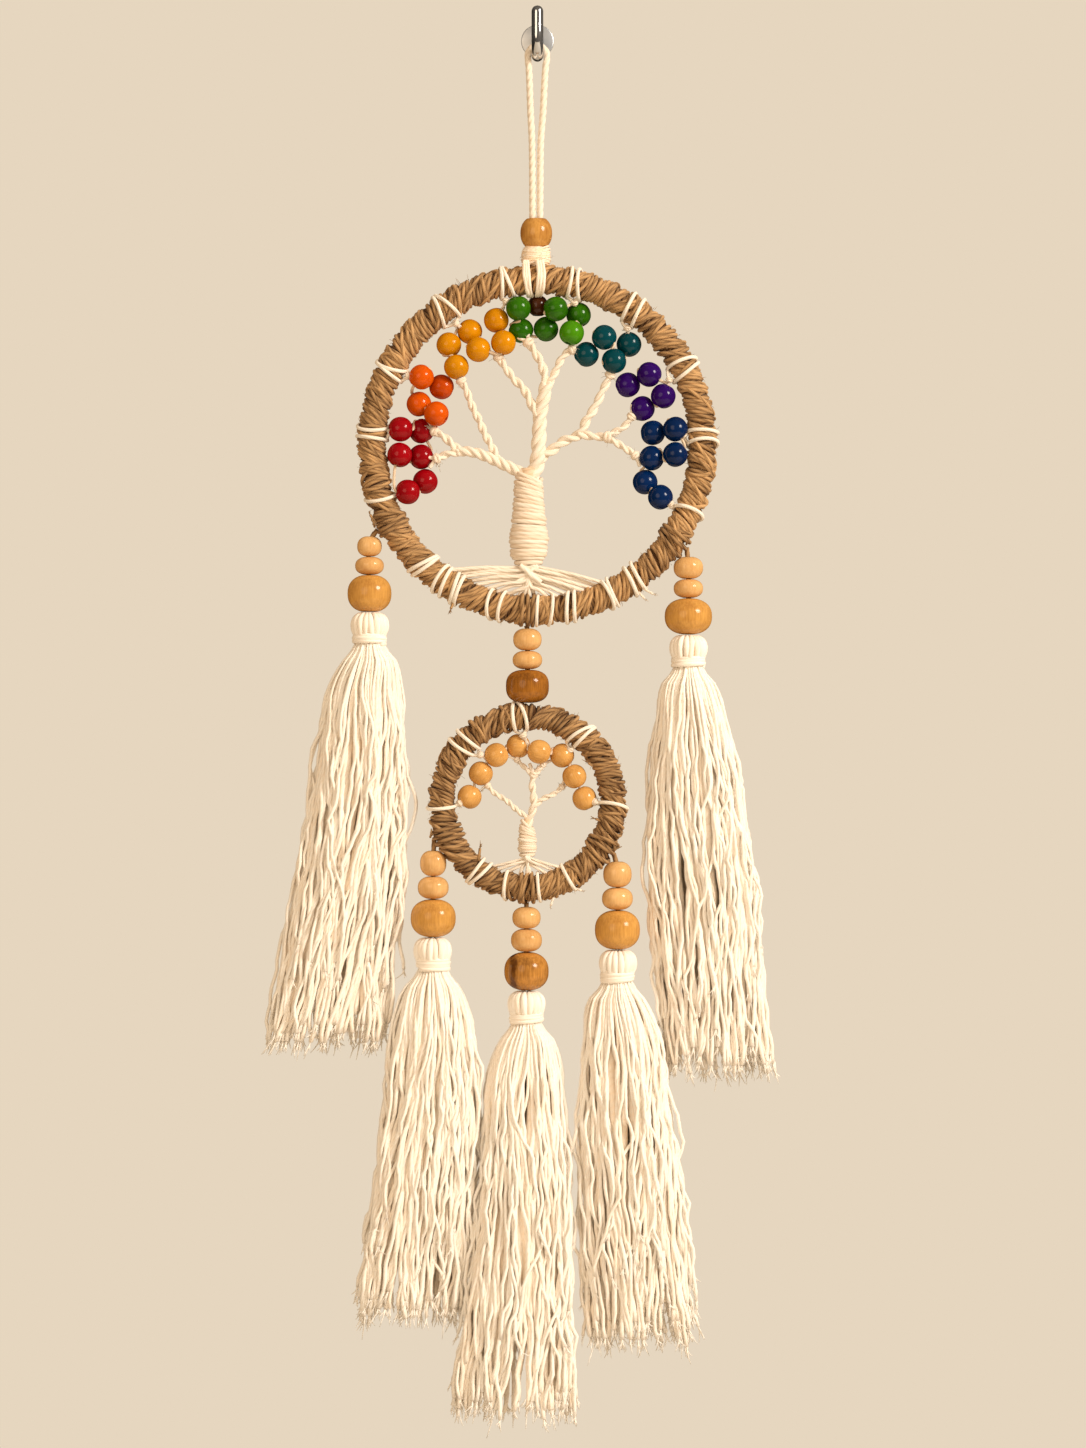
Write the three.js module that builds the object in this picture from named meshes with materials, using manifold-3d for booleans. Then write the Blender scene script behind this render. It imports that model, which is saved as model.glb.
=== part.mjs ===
// A dreamcatcher on a wall hook: two jute-wrapped hoops, each with a macrame tree of life and
// wooden beads, and five cotton tassels under stacks of beads.
//
// Millimetres, +Z up, +X to the viewer's right. The wall is the plane y = 0 and the origin is
// the centre of the hook's rosette on the wall, so everything else lies towards -Y.

import * as THREE from 'three';
import { mergeVertices } from 'three/addons/utils/BufferGeometryUtils.js';
import Module from 'manifold-3d';

const wasm = await Module();
wasm.setup();

// Driving dimensions
const CLEARANCE = 0.3; // left between pieces that touch
const HANG_Y = -22; // plane in which the hoops and the bead stacks hang
const ROSETTE = { radius: 8, thickness: 3 };
const HOOK = { barRadius: 3, bendRadius: 8, bendY: HANG_Y, bendZ: -2.2, shoulderZ: -0.6, tipZ: 5.5 };
const ROUND_TIP = [ // the hook's rounded tip, in shares of the bar's radius
  { rise: 0, girth: 1 },
  { rise: 0.5, girth: 0.87 },
  { rise: 0.85, girth: 0.53 },
  { rise: 1, girth: 0.2 },
];
const LOOP = { radius: 1.4, sides: 8, steps: 46, turns: 5.75, ply: 0.13 };
const TOP_BEAD = { x: -0.5, top: -79.4, diameter: 13.7, height: 11.6, bore: 3.5 };
const TOP_KNOT = { x: -0.6, top: -91.3, diameter: 12.7, height: 9.2 };
const HOOP_SIDES = 7; // sides of a hoop's section, and of the turns tied round it
const LARGE_HOOP = { x: 0, z: -177.3, radius: 70.6, section: 5.9, turns: 38, slant: 1.5 };
const SMALL_HOOP = { x: -4.3, z: -330.8, radius: 36.7, section: 5.6, turns: 21, slant: 1.3 };
const GROOVE = 0.7; // depth between a hoop's wrapping turns
const UNEVEN = 0.24; // the turns themselves lie so much higher or lower
const TIE_RADIUS = 1.0; // cotton turned round a hoop
const PAIR_SPREAD = 1.9; // a band of two turns side by side is so much wider than one
const THREAD_RADIUS = 0.7; // cotton that the small beads are strung on
const WRAP_RELIEF = 0.55; // a turn of cotton round a trunk stands out by this much
const LIMB_REACH = 1.12; // corner of a limb's square section, in shares of the cord's radius
const LIMB_STEP = 6.5; // a twisted limb's section turns a little at each such length
const LIMB_TWIST = 8; // length in which it turns through one radian
const ROOT_SPREAD = 0.05; // roots leave the trunk's foot apart, by this share of their reach
const JUTE_RADIUS = 1.25; // cord that carries the bead stacks
const BORE_RADIUS = 1.9; // hole of a stack's bead
const COLOURED_BEAD = 10.4; // diameter of the beads in the large hoop
const NATURAL_BEAD = 10.2; // diameter of the beads in the small hoop
const HEAD = { neck: 6.2, bulge: 8.2, height: 15.2, bandHeight: 6, bandRadius: 7.8, lip: 1, sides: 8 };
const STRAND = { root: 0.9, body: 2.2, tip: 1.9, sunk: 1.2 };

// Places of the four turns of the top knot round the large hoop, as angles in degrees
const TOP_LEGS = [94.2, 92.7, 90.5, 88.8];

// Centres of the coloured beads from the large hoop's centre: across, up, and lift towards the
// wall, so that beads that overlap in view lie before and behind each other. The thread runs from
// bead to bead in this order, and each tie joins the bead named first to a turn round the hoop.
const BEAD_GROUPS = {
  red: {
    colour: '#b3122a',
    beads: [
      { across: -59.0, up: 7.0, lift: -3 },
      { across: -50.4, up: 6.7, lift: 3 },
      { across: -50.4, up: -4.5, lift: 3 },
      { across: -59.4, up: -4.0, lift: -3 },
      { across: -56.0, up: -19.9, lift: -3 },
      { across: -48.6, up: -14.9, lift: 3 },
    ],
    ties: [{ bead: 0, angle: 177, turns: 2 }, { bead: 4, angle: -162, turns: 1 }],
  },
  orange: {
    colour: '#f06a10',
    beads: [
      { across: -41.6, up: 25.7, lift: 2.4 },
      { across: -50.1, up: 29.3, lift: -3 },
      { across: -51.3, up: 18.2, lift: 2.6 },
      { across: -43.7, up: 13.6, lift: -3 },
    ],
    ties: [{ bead: 1, angle: 153, turns: 2 }],
  },
  yellow: {
    colour: '#f2a51a',
    beads: [
      { across: -35.1, up: 33.9, lift: -2.4 },
      { across: -38.4, up: 43.6, lift: 2.4 },
      { across: -29.4, up: 49.4, lift: 3 },
      { across: -25.7, up: 41.2, lift: -2.8 },
      { across: -14.9, up: 44.3, lift: -2 },
      { across: -18.0, up: 54.1, lift: 2.4 },
    ],
    ties: [{ bead: 2, angle: 126, turns: 2 }, { bead: 5, angle: 102, turns: 2 }],
  },
  green: {
    colour: '#3f8f1e',
    beads: [
      { across: -8.5, up: 58.8, lift: -2.6 },
      { across: -7.1, up: 50.0, lift: 3 },
      { across: 3.1, up: 50.6, lift: -2.8 },
      { across: 7.6, up: 58.5, lift: 2.6 },
      { across: 17.4, up: 56.6, lift: -3 },
      { across: 14.4, up: 48.4, lift: 2.9 },
    ],
    ties: [{ bead: 4, angle: 77, turns: 2 }],
  },
  teal: {
    colour: '#0e6a6e',
    beads: [
      { across: 20.8, up: 39.6, lift: 2.4 },
      { across: 28.4, up: 46.5, lift: -3 },
      { across: 32.6, up: 36.4, lift: -3 },
      { across: 39.1, up: 43.8, lift: 2.4 },
    ],
    ties: [{ bead: 3, angle: 54, turns: 2 }],
  },
  purple: {
    colour: '#4a1d78',
    beads: [
      { across: 38.6, up: 26.5, lift: 2.4 },
      { across: 47.7, up: 30.5, lift: -3 },
      { across: 53.7, up: 21.2, lift: -3 },
      { across: 44.9, up: 16.3, lift: 2.4 },
    ],
    ties: [{ bead: 2, angle: 27.5, turns: 2 }],
  },
  blue: {
    colour: '#0f3a70',
    beads: [
      { across: 49.4, up: 5.9, lift: 3 },
      { across: 58.9, up: 7.0, lift: -3 },
      { across: 58.8, up: -3.9, lift: -3 },
      { across: 48.9, up: -5.2, lift: 3 },
      { across: 46.1, up: -15.3, lift: 2 },
      { across: 52.5, up: -22.1, lift: -3 },
    ],
    ties: [{ bead: 1, angle: 2, turns: 2 }, { bead: 5, angle: -24, turns: 1 }],
  },
};

// The strung arc of natural beads, from the small hoop's centre
const NATURAL_ARC = {
  beads: [
    { across: -25.1, up: 2.5, lift: -1.5 },
    { across: -20.2, up: 12.6, lift: 1.5 },
    { across: -13.6, up: 20.4, lift: -1.5 },
    { across: -4.2, up: 24.3, lift: 1.8 },
    { across: 4.9, up: 21.9, lift: -2.4 },
    { across: 14.7, up: 20.2, lift: 1.0 },
    { across: 20.0, up: 11.3, lift: -1.5 },
    { across: 24.3, up: 1.9, lift: 1.5 },
  ],
  ties: [
    { bead: 0, angle: -176, turns: 1 },
    { bead: 2, angle: 137, turns: 2 },
    { bead: 3, angle: 101.5, turns: 2 },
    { bead: 5, angle: 49, turns: 2 },
    { bead: 7, angle: -2, turns: 1 },
  ],
};

// The trees. A limb's route is a list of points from its hoop's centre, across and up, chosen
// along the cord's middle, with its radius at both ends. The trunk's rows give its half width.
const LARGE_TREE = {
  hoop: LARGE_HOOP,
  trunk: {
    x: -3.2,
    flat: 0.8,
    wraps: 12,
    rows: [
      { up: -50.5, half: 5.6 },
      { up: -46.0, half: 7.6 },
      { up: -40.0, half: 8.2 },
      { up: -33.0, half: 7.0 },
      { up: -24.0, half: 6.2 },
      { up: -12.0, half: 5.7 },
    ],
  },
  limbs: [
    { from: 3.5, to: 2.9, route: [[-2.6, -16], [-0.6, -9], [0.4, -2], [0.9, 6], [2.4, 21], [4.3, 26]] },
    { from: 2.7, to: 2.2, route: [[-3, -15], [-8.1, -11.6], [-17, -7.2], [-24.7, -3.9], [-34.6, -2.8]] },
    { from: 2.1, to: 1.7, route: [[-33.6, -2.9], [-39, 2.6], [-44.6, 6.4]] },
    { from: 1.9, to: 1.7, route: [[-33.6, -2.9], [-38.5, -3.8], [-43.6, -6]] },
    { from: 1.9, to: 1.7, route: [[-16, -7.8], [-22.6, 4.8], [-27.9, 16.9], [-33, 28.2]] },
    { from: 2.1, to: 1.8, route: [[0.4, 13], [-5.9, 23.5], [-12.5, 31.5], [-16.8, 38.2]] },
    { from: 2.2, to: 1.9, route: [[4.2, 25], [2.8, 32.2], [-1.1, 40], [-4.3, 44.8]] },
    { from: 1.9, to: 1.7, route: [[4.1, 25], [8.3, 33], [12.9, 39.6], [15.4, 41.2]] },
    { from: 2.5, to: 1.8, route: [[0.4, -7], [10.5, 1.2], [18.2, 4.8], [23, 13.7], [31.8, 30.4]] },
    { from: 2.1, to: 1.9, route: [[17, 4.4], [24, 3.6], [30.8, 3.4]] },
    { from: 1.7, to: 1.6, route: [[29.4, 3.2], [34, 6], [37.5, 8.4], [40.7, 12.6]] },
    { from: 1.8, to: 1.6, route: [[29.4, 3.2], [36.5, -0.8], [42.2, -4.6]] },
  ],
  root: { from: [-3.2, -49], radius: 1.0 },
  ties: [
    { angle: -125, turns: 2 },
    { angle: -119, turns: 2 },
    { angle: -107, turns: 1 },
    { angle: -102, turns: 1 },
    { angle: -91, turns: 1 },
    { angle: -86, turns: 1 },
    { angle: -78, turns: 2 },
    { angle: -65, turns: 2 },
  ],
};

const SMALL_TREE = {
  hoop: SMALL_HOOP,
  trunk: {
    x: 0.2,
    flat: 0.85,
    wraps: 7,
    rows: [
      { up: -25.0, half: 3.4 },
      { up: -20.0, half: 4.1 },
      { up: -12.0, half: 3.7 },
    ],
  },
  limbs: [
    { from: 2.7, to: 2.2, route: [[0.4, -13.5], [1.0, -9], [2.0, -4], [2.7, 1], [2.0, 7], [2.7, 12]] },
    { from: 1.8, to: 1.5, route: [[0.6, -7.5], [-4.4, -3.6], [-9, 0.6], [-13.6, 4.2], [-15.6, 7.8]] },
    { from: 1.6, to: 1.3, route: [[2.6, 11.2], [-0.6, 14.4], [-4.5, 18.6]] },
    { from: 1.6, to: 1.3, route: [[2.6, 11.2], [4.2, 13.4], [5.2, 16.3]] },
    { from: 1.7, to: 1.4, route: [[2.3, -3], [7, 1.4], [11.5, 4.0], [15.4, 7.0]] },
  ],
  root: { from: [0.2, -24], radius: 0.8 },
  ties: [
    { angle: -125, turns: 2 },
    { angle: -104, turns: 1 },
    { angle: -81, turns: 1 },
    { angle: -62, turns: 2 },
  ],
};

// Bead stacks: the cord's line, the angle where it is tied round its hoop, and its beads from
// the top down. Every stack but the middle one ends in a tassel.
const STACKS = {
  left: {
    hoop: LARGE_HOOP,
    angle: -152,
    x: -72.2,
    top: -216.7,
    beads: [{ width: 10.6, height: 8.5 }, { width: 12.4, height: 7.6 }, { width: 18.9, height: 15.6 }],
  },
  middle: {
    hoop: LARGE_HOOP,
    angle: -93.5,
    x: -4.3,
    top: -256.3,
    beads: [{ width: 12.3, height: 9.3 }, { width: 12.8, height: 7.8 }, { width: 18.5, height: 14.2 }],
  },
  right: {
    hoop: LARGE_HOOP,
    angle: -34.5,
    x: 64.9,
    top: -225.5,
    beads: [{ width: 12.7, height: 9.3 }, { width: 12.7, height: 7.9 }, { width: 20.4, height: 15.5 }],
  },
  lower_left: {
    hoop: SMALL_HOOP,
    angle: -158,
    x: -44.8,
    top: -351.8,
    beads: [{ width: 11.3, height: 10.8 }, { width: 13.3, height: 9.5 }, { width: 19.4, height: 16.2 }],
  },
  lower_middle: {
    hoop: SMALL_HOOP,
    angle: -90.6,
    x: -4.7,
    top: -376,
    beads: [{ width: 12.2, height: 9.2 }, { width: 13.4, height: 9.6 }, { width: 19.1, height: 16.4 }],
  },
  lower_right: {
    hoop: SMALL_HOOP,
    angle: -31,
    x: 34.4,
    top: -356.5,
    beads: [{ width: 12.3, height: 10.9 }, { width: 13.3, height: 9.4 }, { width: 19.4, height: 16.8 }],
  },
};

// Skirts of the tassels, a row for each section below the neck: how far down, how far the middle
// has drifted across and towards the wall, and half the width and depth there.
const SKIRTS = {
  left: [
    { down: 0, across: 0, back: 0, half: 5.7, deep: 5.7 },
    { down: 17, across: -2, back: 0.3, half: 15.5, deep: 10 },
    { down: 70, across: -5.5, back: 2.6, half: 22, deep: 11.5 },
    { down: 170, across: -19.1, back: 4, half: 27.5, deep: 11 },
  ],
  right: [
    { down: 0, across: 0, back: 0, half: 5.7, deep: 5.7 },
    { down: 17, across: 0.8, back: 0.3, half: 14.8, deep: 10 },
    { down: 70, across: 4.6, back: 2.6, half: 22.4, deep: 11.5 },
    { down: 172, across: 13.2, back: 4, half: 25.4, deep: 11 },
  ],
  lower_left: [
    { down: 0, across: 0, back: 0, half: 5.7, deep: 5.7 },
    { down: 16, across: 0, back: -1.8, half: 16, deep: 10 },
    { down: 62, across: -0.8, back: -4, half: 21.8, deep: 11.5 },
    { down: 147, across: -10.5, back: -3, half: 24, deep: 10.5 },
  ],
  lower_middle: [
    { down: 0, across: 0, back: 0, half: 5.7, deep: 5.7 },
    { down: 16, across: -0.6, back: -1, half: 15.6, deep: 10 },
    { down: 68, across: -0.6, back: -7.5, half: 19.2, deep: 11 },
    { down: 164, across: -5, back: -11.5, half: 28, deep: 10.5 },
  ],
  lower_right: [
    { down: 0, across: 0, back: 0, half: 5.7, deep: 5.7 },
    { down: 16, across: 1.4, back: -2, half: 15.4, deep: 10 },
    { down: 64, across: 4.2, back: -4.2, half: 21, deep: 11.5 },
    { down: 152, across: 10.3, back: -3, half: 25.4, deep: 10.5 },
  ],
};

// Rings of strands in a tassel: how many, their share of the skirt's half width, and the turn
// of the first one in degrees
const STRAND_RINGS = [
  { count: 16, share: 1, turn: 11.25 },
  { count: 8, share: 0.58, turn: 22.5 },
  { count: 1, share: 0, turn: 0 },
];
const RAGGED = 6; // the strands' ends differ by up to this much

// Materials

const jute = material('#a5835a', 0.95);
const cotton = material('#f3e6cf', 0.95);
const paleWood = material('#e0b070', 0.35);
const honeyWood = material('#c98a3d', 0.3);
const walnut = material('#a5682c', 0.3);
const steel = material('#c9c6c0', 0.25, 1);

function material(color, roughness, metalness = 0) {
  return new THREE.MeshStandardMaterial({ color, roughness, metalness });
}

// Shared ways of making solids

/** Vertices merged and slivers dropped, so that the surface is one closed skin. */
function closed(geometry) {
  geometry.deleteAttribute('normal');
  geometry.deleteAttribute('uv');
  const skin = mergeVertices(geometry, 1e-4);
  const corners = skin.index.array;
  const kept = [];
  for (let i = 0; i < corners.length; i += 3) {
    const [a, b, c] = corners.slice(i, i + 3);
    if (a !== b && b !== c && c !== a) kept.push(a, b, c);
  }
  skin.setIndex(kept);
  return skin;
}

/** Closed skins that cross each other, joined into one body. */
function joined(geometries) {
  const bodies = geometries.map((geometry) => {
    const skin = closed(geometry);
    return new wasm.Manifold(new wasm.Mesh({
      numProp: 3,
      vertProperties: new Float32Array(skin.attributes.position.array),
      triVerts: new Uint32Array(skin.index.array),
    }));
  });
  const whole = bodies.reduce((sum, next) => sum.add(next)).getMesh();
  const geometry = new THREE.BufferGeometry();
  geometry.setAttribute('position', new THREE.BufferAttribute(whole.vertProperties, 3));
  geometry.setIndex(new THREE.BufferAttribute(whole.triVerts, 1));
  return geometry;
}

/** A curve stepped from one given point to the next, however far apart they are. */
class Route extends THREE.CatmullRomCurve3 {
  getPointAt(share, target) {
    return this.getPoint(share, target);
  }

  getTangentAt(share, target) {
    return this.getTangent(share, target);
  }
}

/** A regular section with the given number of sides. */
function roundSection(radius, sides) {
  const shape = new THREE.Shape();
  for (let i = 0; i < sides; i++) {
    const angle = (i / sides) * 2 * Math.PI;
    const place = [radius * Math.cos(angle), radius * Math.sin(angle)];
    if (i === 0) shape.moveTo(...place);
    else shape.lineTo(...place);
  }
  shape.closePath();
  return shape;
}

/**
 * A cord along a path. Its girth and its turn about the path change from step to step, and
 * its plies stand out by their share of the radius.
 */
function cord(path, { radius, sides, steps, girth = () => 1, turn = () => 0, ply = 0 }) {
  const geometry = new THREE.ExtrudeGeometry(roundSection(radius, sides), {
    steps,
    bevelEnabled: false,
    extrudePath: path,
  });
  const middles = path.getSpacedPoints(steps);
  const { tangents, normals } = path.computeFrenetFrames(steps, false);
  const position = geometry.attributes.position;
  const point = new THREE.Vector3();
  for (let i = 0; i < position.count; i++) {
    point.fromBufferAttribute(position, i);
    const step = nearest(middles, point);
    point.sub(middles[step]);
    const side = new THREE.Vector3().crossVectors(tangents[step], normals[step]);
    const around = Math.atan2(point.dot(side), point.dot(normals[step]));
    point.multiplyScalar(girth(step / steps) * (1 + ply * Math.cos(2 * around)));
    point.applyAxisAngle(tangents[step], turn(step / steps));
    position.setXYZ(i, ...point.add(middles[step]));
  }
  return geometry;
}

function nearest(points, target) {
  let best = 0;
  points.forEach((point, i) => {
    if (point.distanceToSquared(target) < points[best].distanceToSquared(target)) best = i;
  });
  return best;
}

/** A turned solid, its profile given as [radius, height] pairs, standing along Z. */
function turned(profile, segments) {
  const points = profile.map(([radius, height]) => new THREE.Vector2(radius, height));
  return new THREE.LatheGeometry(points, segments).rotateX(Math.PI / 2);
}

/** A wooden bead with its hole, standing along Z about its middle. */
function boredBead(width, height, bore, segments) {
  const half = width / 2;
  const flat = Math.max(0.52 * half, bore + 0.9);
  const rim = height / 2;
  return turned([
    [bore, -rim],
    [flat, -rim],
    [half, -0.32 * rim],
    [half, 0.32 * rim],
    [flat, rim],
    [bore, rim],
    [bore, -rim],
  ], segments);
}

/** A point in a hoop's plane, or lifted from it, in the part's frame. */
function fromHoop(hoop, across, up, lift = 0) {
  return new THREE.Vector3(hoop.x + across, HANG_Y + lift, hoop.z + up);
}

function hoopDirection(angle) {
  const turn = THREE.MathUtils.degToRad(angle);
  return { across: Math.cos(turn), up: Math.sin(turn) };
}

/** How far a turn's middle lies from a hoop's: the section has three sides, one of them inward. */
function tieReach(hoop, radius) {
  return hoop.section + CLEARANCE + radius / 2;
}

/** One or two turns of cord tied round a hoop at an angle, clear of its wrapping. */
function tie(hoop, angle, radius, turns = 1) {
  const { across, up } = hoopDirection(angle);
  const centre = fromHoop(hoop, hoop.radius * across, hoop.radius * up);
  return new THREE.TorusGeometry(tieReach(hoop, radius), radius, 3, HOOP_SIDES)
    .scale(1, 1, turns > 1 ? PAIR_SPREAD : 1)
    .rotateY(-THREE.MathUtils.degToRad(angle))
    .translate(...centre);
}

/** The point of a tie that is nearest to the hoop's centre, or farthest from it. */
function tiePoint(hoop, angle, radius, side) {
  const reach = hoop.radius + side * tieReach(hoop, radius);
  const { across, up } = hoopDirection(angle);
  return fromHoop(hoop, reach * across, reach * up);
}

/** A short straight thread from one point to another. */
function thread(from, to, radius, sides = 3) {
  return cord(new THREE.LineCurve3(from, to), { radius, sides, steps: 1 });
}

// The hook

function rosette() {
  const { radius, thickness } = ROSETTE;
  return turned([
    [0, 0],
    [radius, 0],
    [radius, 0.4 * thickness],
    [0.86 * radius, 0.8 * thickness],
    [0.5 * radius, thickness],
    [0, thickness],
  ], 14).rotateX(Math.PI / 2);
}

function hookBar() {
  const { barRadius, bendRadius, bendY, bendZ, shoulderZ, tipZ } = HOOK;
  const start = -(ROSETTE.thickness + CLEARANCE);
  const backLimb = bendY + bendRadius;
  const points = [
    [start, 0],
    [(start + backLimb) / 2, 0],
    [backLimb + barRadius / 2, shoulderZ],
  ];
  for (let i = 0; i <= 6; i++) {
    const angle = (i / 6) * Math.PI;
    points.push([bendY + bendRadius * Math.cos(angle), bendZ - bendRadius * Math.sin(angle)]);
  }
  const firstOfTip = points.length;
  ROUND_TIP.forEach(({ rise }) => points.push([bendY - bendRadius, tipZ + rise * barRadius]));
  const steps = points.length - 1;
  const path = new Route(points.map(([y, z]) => new THREE.Vector3(0, y, z)));
  const girth = (share) => ROUND_TIP[Math.round(share * steps) - firstOfTip]?.girth ?? 1;
  return cord(path, { radius: barRadius, sides: 9, steps, girth });
}

// The hanging loop, its bead and its knot

/** Up from the knot, over the hook's bend and down again. */
function loopPath() {
  const inBead = LOOP.radius + 0.2;
  const overBar = HOOK.barRadius + LOOP.radius * (1 + LOOP.ply) + 2 * CLEARANCE;
  const bottom = TOP_KNOT.top + CLEARANCE;
  const bendBottom = HOOK.bendZ - HOOK.bendRadius;
  const rise = [bottom, -85, TOP_BEAD.top, -70, -58, -46, -34, -22, -15];
  const spread = [0, 0, 0, 0.12, 0.3, 0.5, 0.7, 0.9, 0.98];
  const leg = (side) => rise.map((z, i) => {
    const low = TOP_BEAD.x + side * inBead;
    return new THREE.Vector3(low + spread[i] * (side * overBar - low), HANG_Y, z);
  });
  const crown = [];
  for (let degrees = 180; degrees >= 0; degrees -= 30) {
    const angle = THREE.MathUtils.degToRad(degrees);
    crown.push(new THREE.Vector3(overBar * Math.cos(angle), HANG_Y, bendBottom + overBar * Math.sin(angle)));
  }
  return new THREE.CatmullRomCurve3([...leg(-1), ...crown, ...leg(1).reverse()]);
}

function hangingLoop() {
  const turn = (share) => share * LOOP.turns * 2 * Math.PI;
  return cord(loopPath(), { ...LOOP, turn });
}

function topKnot() {
  const { x, top, diameter, height } = TOP_KNOT;
  const half = diameter / 2;
  const knot = turned([
    [0, -height],
    [0.6 * half, -height],
    [0.95 * half, -0.75 * height],
    [0.82 * half, -0.55 * height],
    [half, -0.4 * height],
    [0.72 * half, -0.12 * height],
    [0.45 * half, 0],
    [0, 0],
  ], 8).translate(x, HANG_Y, top);
  const legs = TOP_LEGS.map((angle) => tie(LARGE_HOOP, angle, TIE_RADIUS));
  return joined([knot, ...legs]);
}

// The hoops

/** A ring wrapped in twine: every other section is a groove, and the turns lean. */
function wrappedHoop({ radius, section, turns, slant }) {
  const steps = 2 * turns;
  const geometry = new THREE.TorusGeometry(radius, section, HOOP_SIDES, steps);
  const position = geometry.attributes.position;
  const point = new THREE.Vector3();
  for (let i = 0; i < position.count; i++) {
    point.fromBufferAttribute(position, i);
    const around = Math.atan2(point.y, point.x);
    const step = Math.round((around / (2 * Math.PI)) * steps);
    const middle = new THREE.Vector3(Math.cos(around), Math.sin(around), 0).multiplyScalar(radius);
    const outward = (Math.hypot(point.x, point.y) - radius) / section;
    const sunk = step % 2 ? GROOVE : UNEVEN * (0.5 + 0.5 * Math.sin(5 * around));
    point.sub(middle).multiplyScalar(1 - sunk / section).add(middle);
    point.applyAxisAngle(new THREE.Vector3(0, 0, 1), (slant * outward) / radius);
    position.setXYZ(i, ...point);
  }
  return closed(geometry.rotateX(Math.PI / 2));
}

// The trees

/** A bundle bound with turns of cotton, each turn standing out from the next. */
function trunk(hoop, { x, flat, wraps, rows }) {
  const low = rows[0].up;
  const high = rows.at(-1).up;
  const profile = [[0, low]];
  for (let i = 0; i <= 2 * wraps; i++) {
    const up = low + ((high - low) * i) / (2 * wraps);
    profile.push([halfWidth(rows, up) - (i % 2 ? 0 : WRAP_RELIEF), up]);
  }
  profile.push([0, high]);
  return turned(profile, 8).scale(1, flat, 1).translate(hoop.x + x, HANG_Y, hoop.z);
}

function halfWidth(rows, up) {
  const i = Math.max(1, rows.findIndex((row) => up <= row.up));
  const [a, b] = [rows[i - 1], rows[i]];
  return THREE.MathUtils.mapLinear(up, a.up, b.up, a.half, b.half);
}

/** A twisted cord: a four-sided section that turns as it goes. */
function limb(hoop, { from, to, route }) {
  const path = new THREE.CatmullRomCurve3(route.map(([across, up]) => fromHoop(hoop, across, up)));
  const length = path.getLength();
  return cord(path, {
    radius: LIMB_REACH * from,
    sides: 4,
    steps: Math.max(2, Math.round(length / LIMB_STEP)),
    girth: (share) => 1 + share * (to / from - 1),
    turn: (share) => (share * length) / LIMB_TWIST,
  });
}

/** A root runs from the trunk's foot to a turn round the hoop. */
function root(tree, angle) {
  const [across, up] = tree.root.from;
  const end = tiePoint(tree.hoop, angle, TIE_RADIUS, -1);
  const start = fromHoop(tree.hoop, across + ROOT_SPREAD * (end.x - tree.hoop.x), up);
  return thread(start, end, tree.root.radius);
}

function tree(shape) {
  return joined([
    trunk(shape.hoop, shape.trunk),
    ...shape.limbs.map((row) => limb(shape.hoop, row)),
    ...shape.ties.map(({ angle }) => root(shape, angle)),
    ...shape.ties.map(({ angle, turns }) => tie(shape.hoop, angle, TIE_RADIUS, turns)),
  ]);
}

// Strung beads in the hoops

function strungBeads(hoop, diameter, { beads, ties }) {
  const centres = beads.map(({ across, up, lift }) => fromHoop(hoop, across, up, lift));
  const balls = centres.map((centre) => new THREE.SphereGeometry(diameter / 2, 8, 4).translate(...centre));
  const links = centres.slice(1).map((centre, i) => thread(centres[i], centre, THREAD_RADIUS));
  const rings = ties.map(({ angle, turns }) => tie(hoop, angle, TIE_RADIUS, turns));
  const tails = ties.map(({ bead, angle }) => {
    const end = tiePoint(hoop, angle, TIE_RADIUS, -1);
    return thread(centres[bead], end, THREAD_RADIUS);
  });
  return joined([...balls, ...links, ...rings, ...tails]);
}

// Bead stacks

/** Where each bead of a stack starts and ends, from the top down. */
function stackLevels({ top, beads }) {
  let level = top;
  return beads.map(({ height }) => {
    const bead = { top: level, bottom: level - height };
    level = bead.bottom - CLEARANCE;
    return bead;
  });
}

function stackBottom(stack) {
  return stackLevels(stack).at(-1).bottom;
}

function stackBead({ width, height }, { top }, x) {
  const segments = width > 15 ? 10 : 8;
  return boredBead(width, height, BORE_RADIUS, segments).translate(x, HANG_Y, top - height / 2);
}

/** The jute cord: one turn round the hoop, then down through the beads. */
function hangerCord({ hoop, angle, x, top }, end) {
  const start = tiePoint(hoop, angle, JUTE_RADIUS, 1);
  const straight = Math.min(top, start.z - JUTE_RADIUS);
  const path = new Route([
    start,
    new THREE.Vector3(x, HANG_Y, straight),
    new THREE.Vector3(x, HANG_Y, end),
  ]);
  const drop = cord(path, { radius: JUTE_RADIUS, sides: 5, steps: 2 });
  return joined([tie(hoop, angle, JUTE_RADIUS), drop]);
}

// Tassels

function tasselHead(x, top) {
  const { neck, bulge, height, bandHeight, lip } = HEAD;
  return turned([
    [0, -height],
    [neck, -height],
    [neck, lip + bandHeight - height],
    [0.94 * bulge, lip + bandHeight + 0.8 - height],
    [bulge, -0.4 * height],
    [0.84 * bulge, -0.17 * height],
    [0.4 * bulge, 0],
    [0, 0],
  ], HEAD.sides).translate(x, HANG_Y, top);
}

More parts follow.
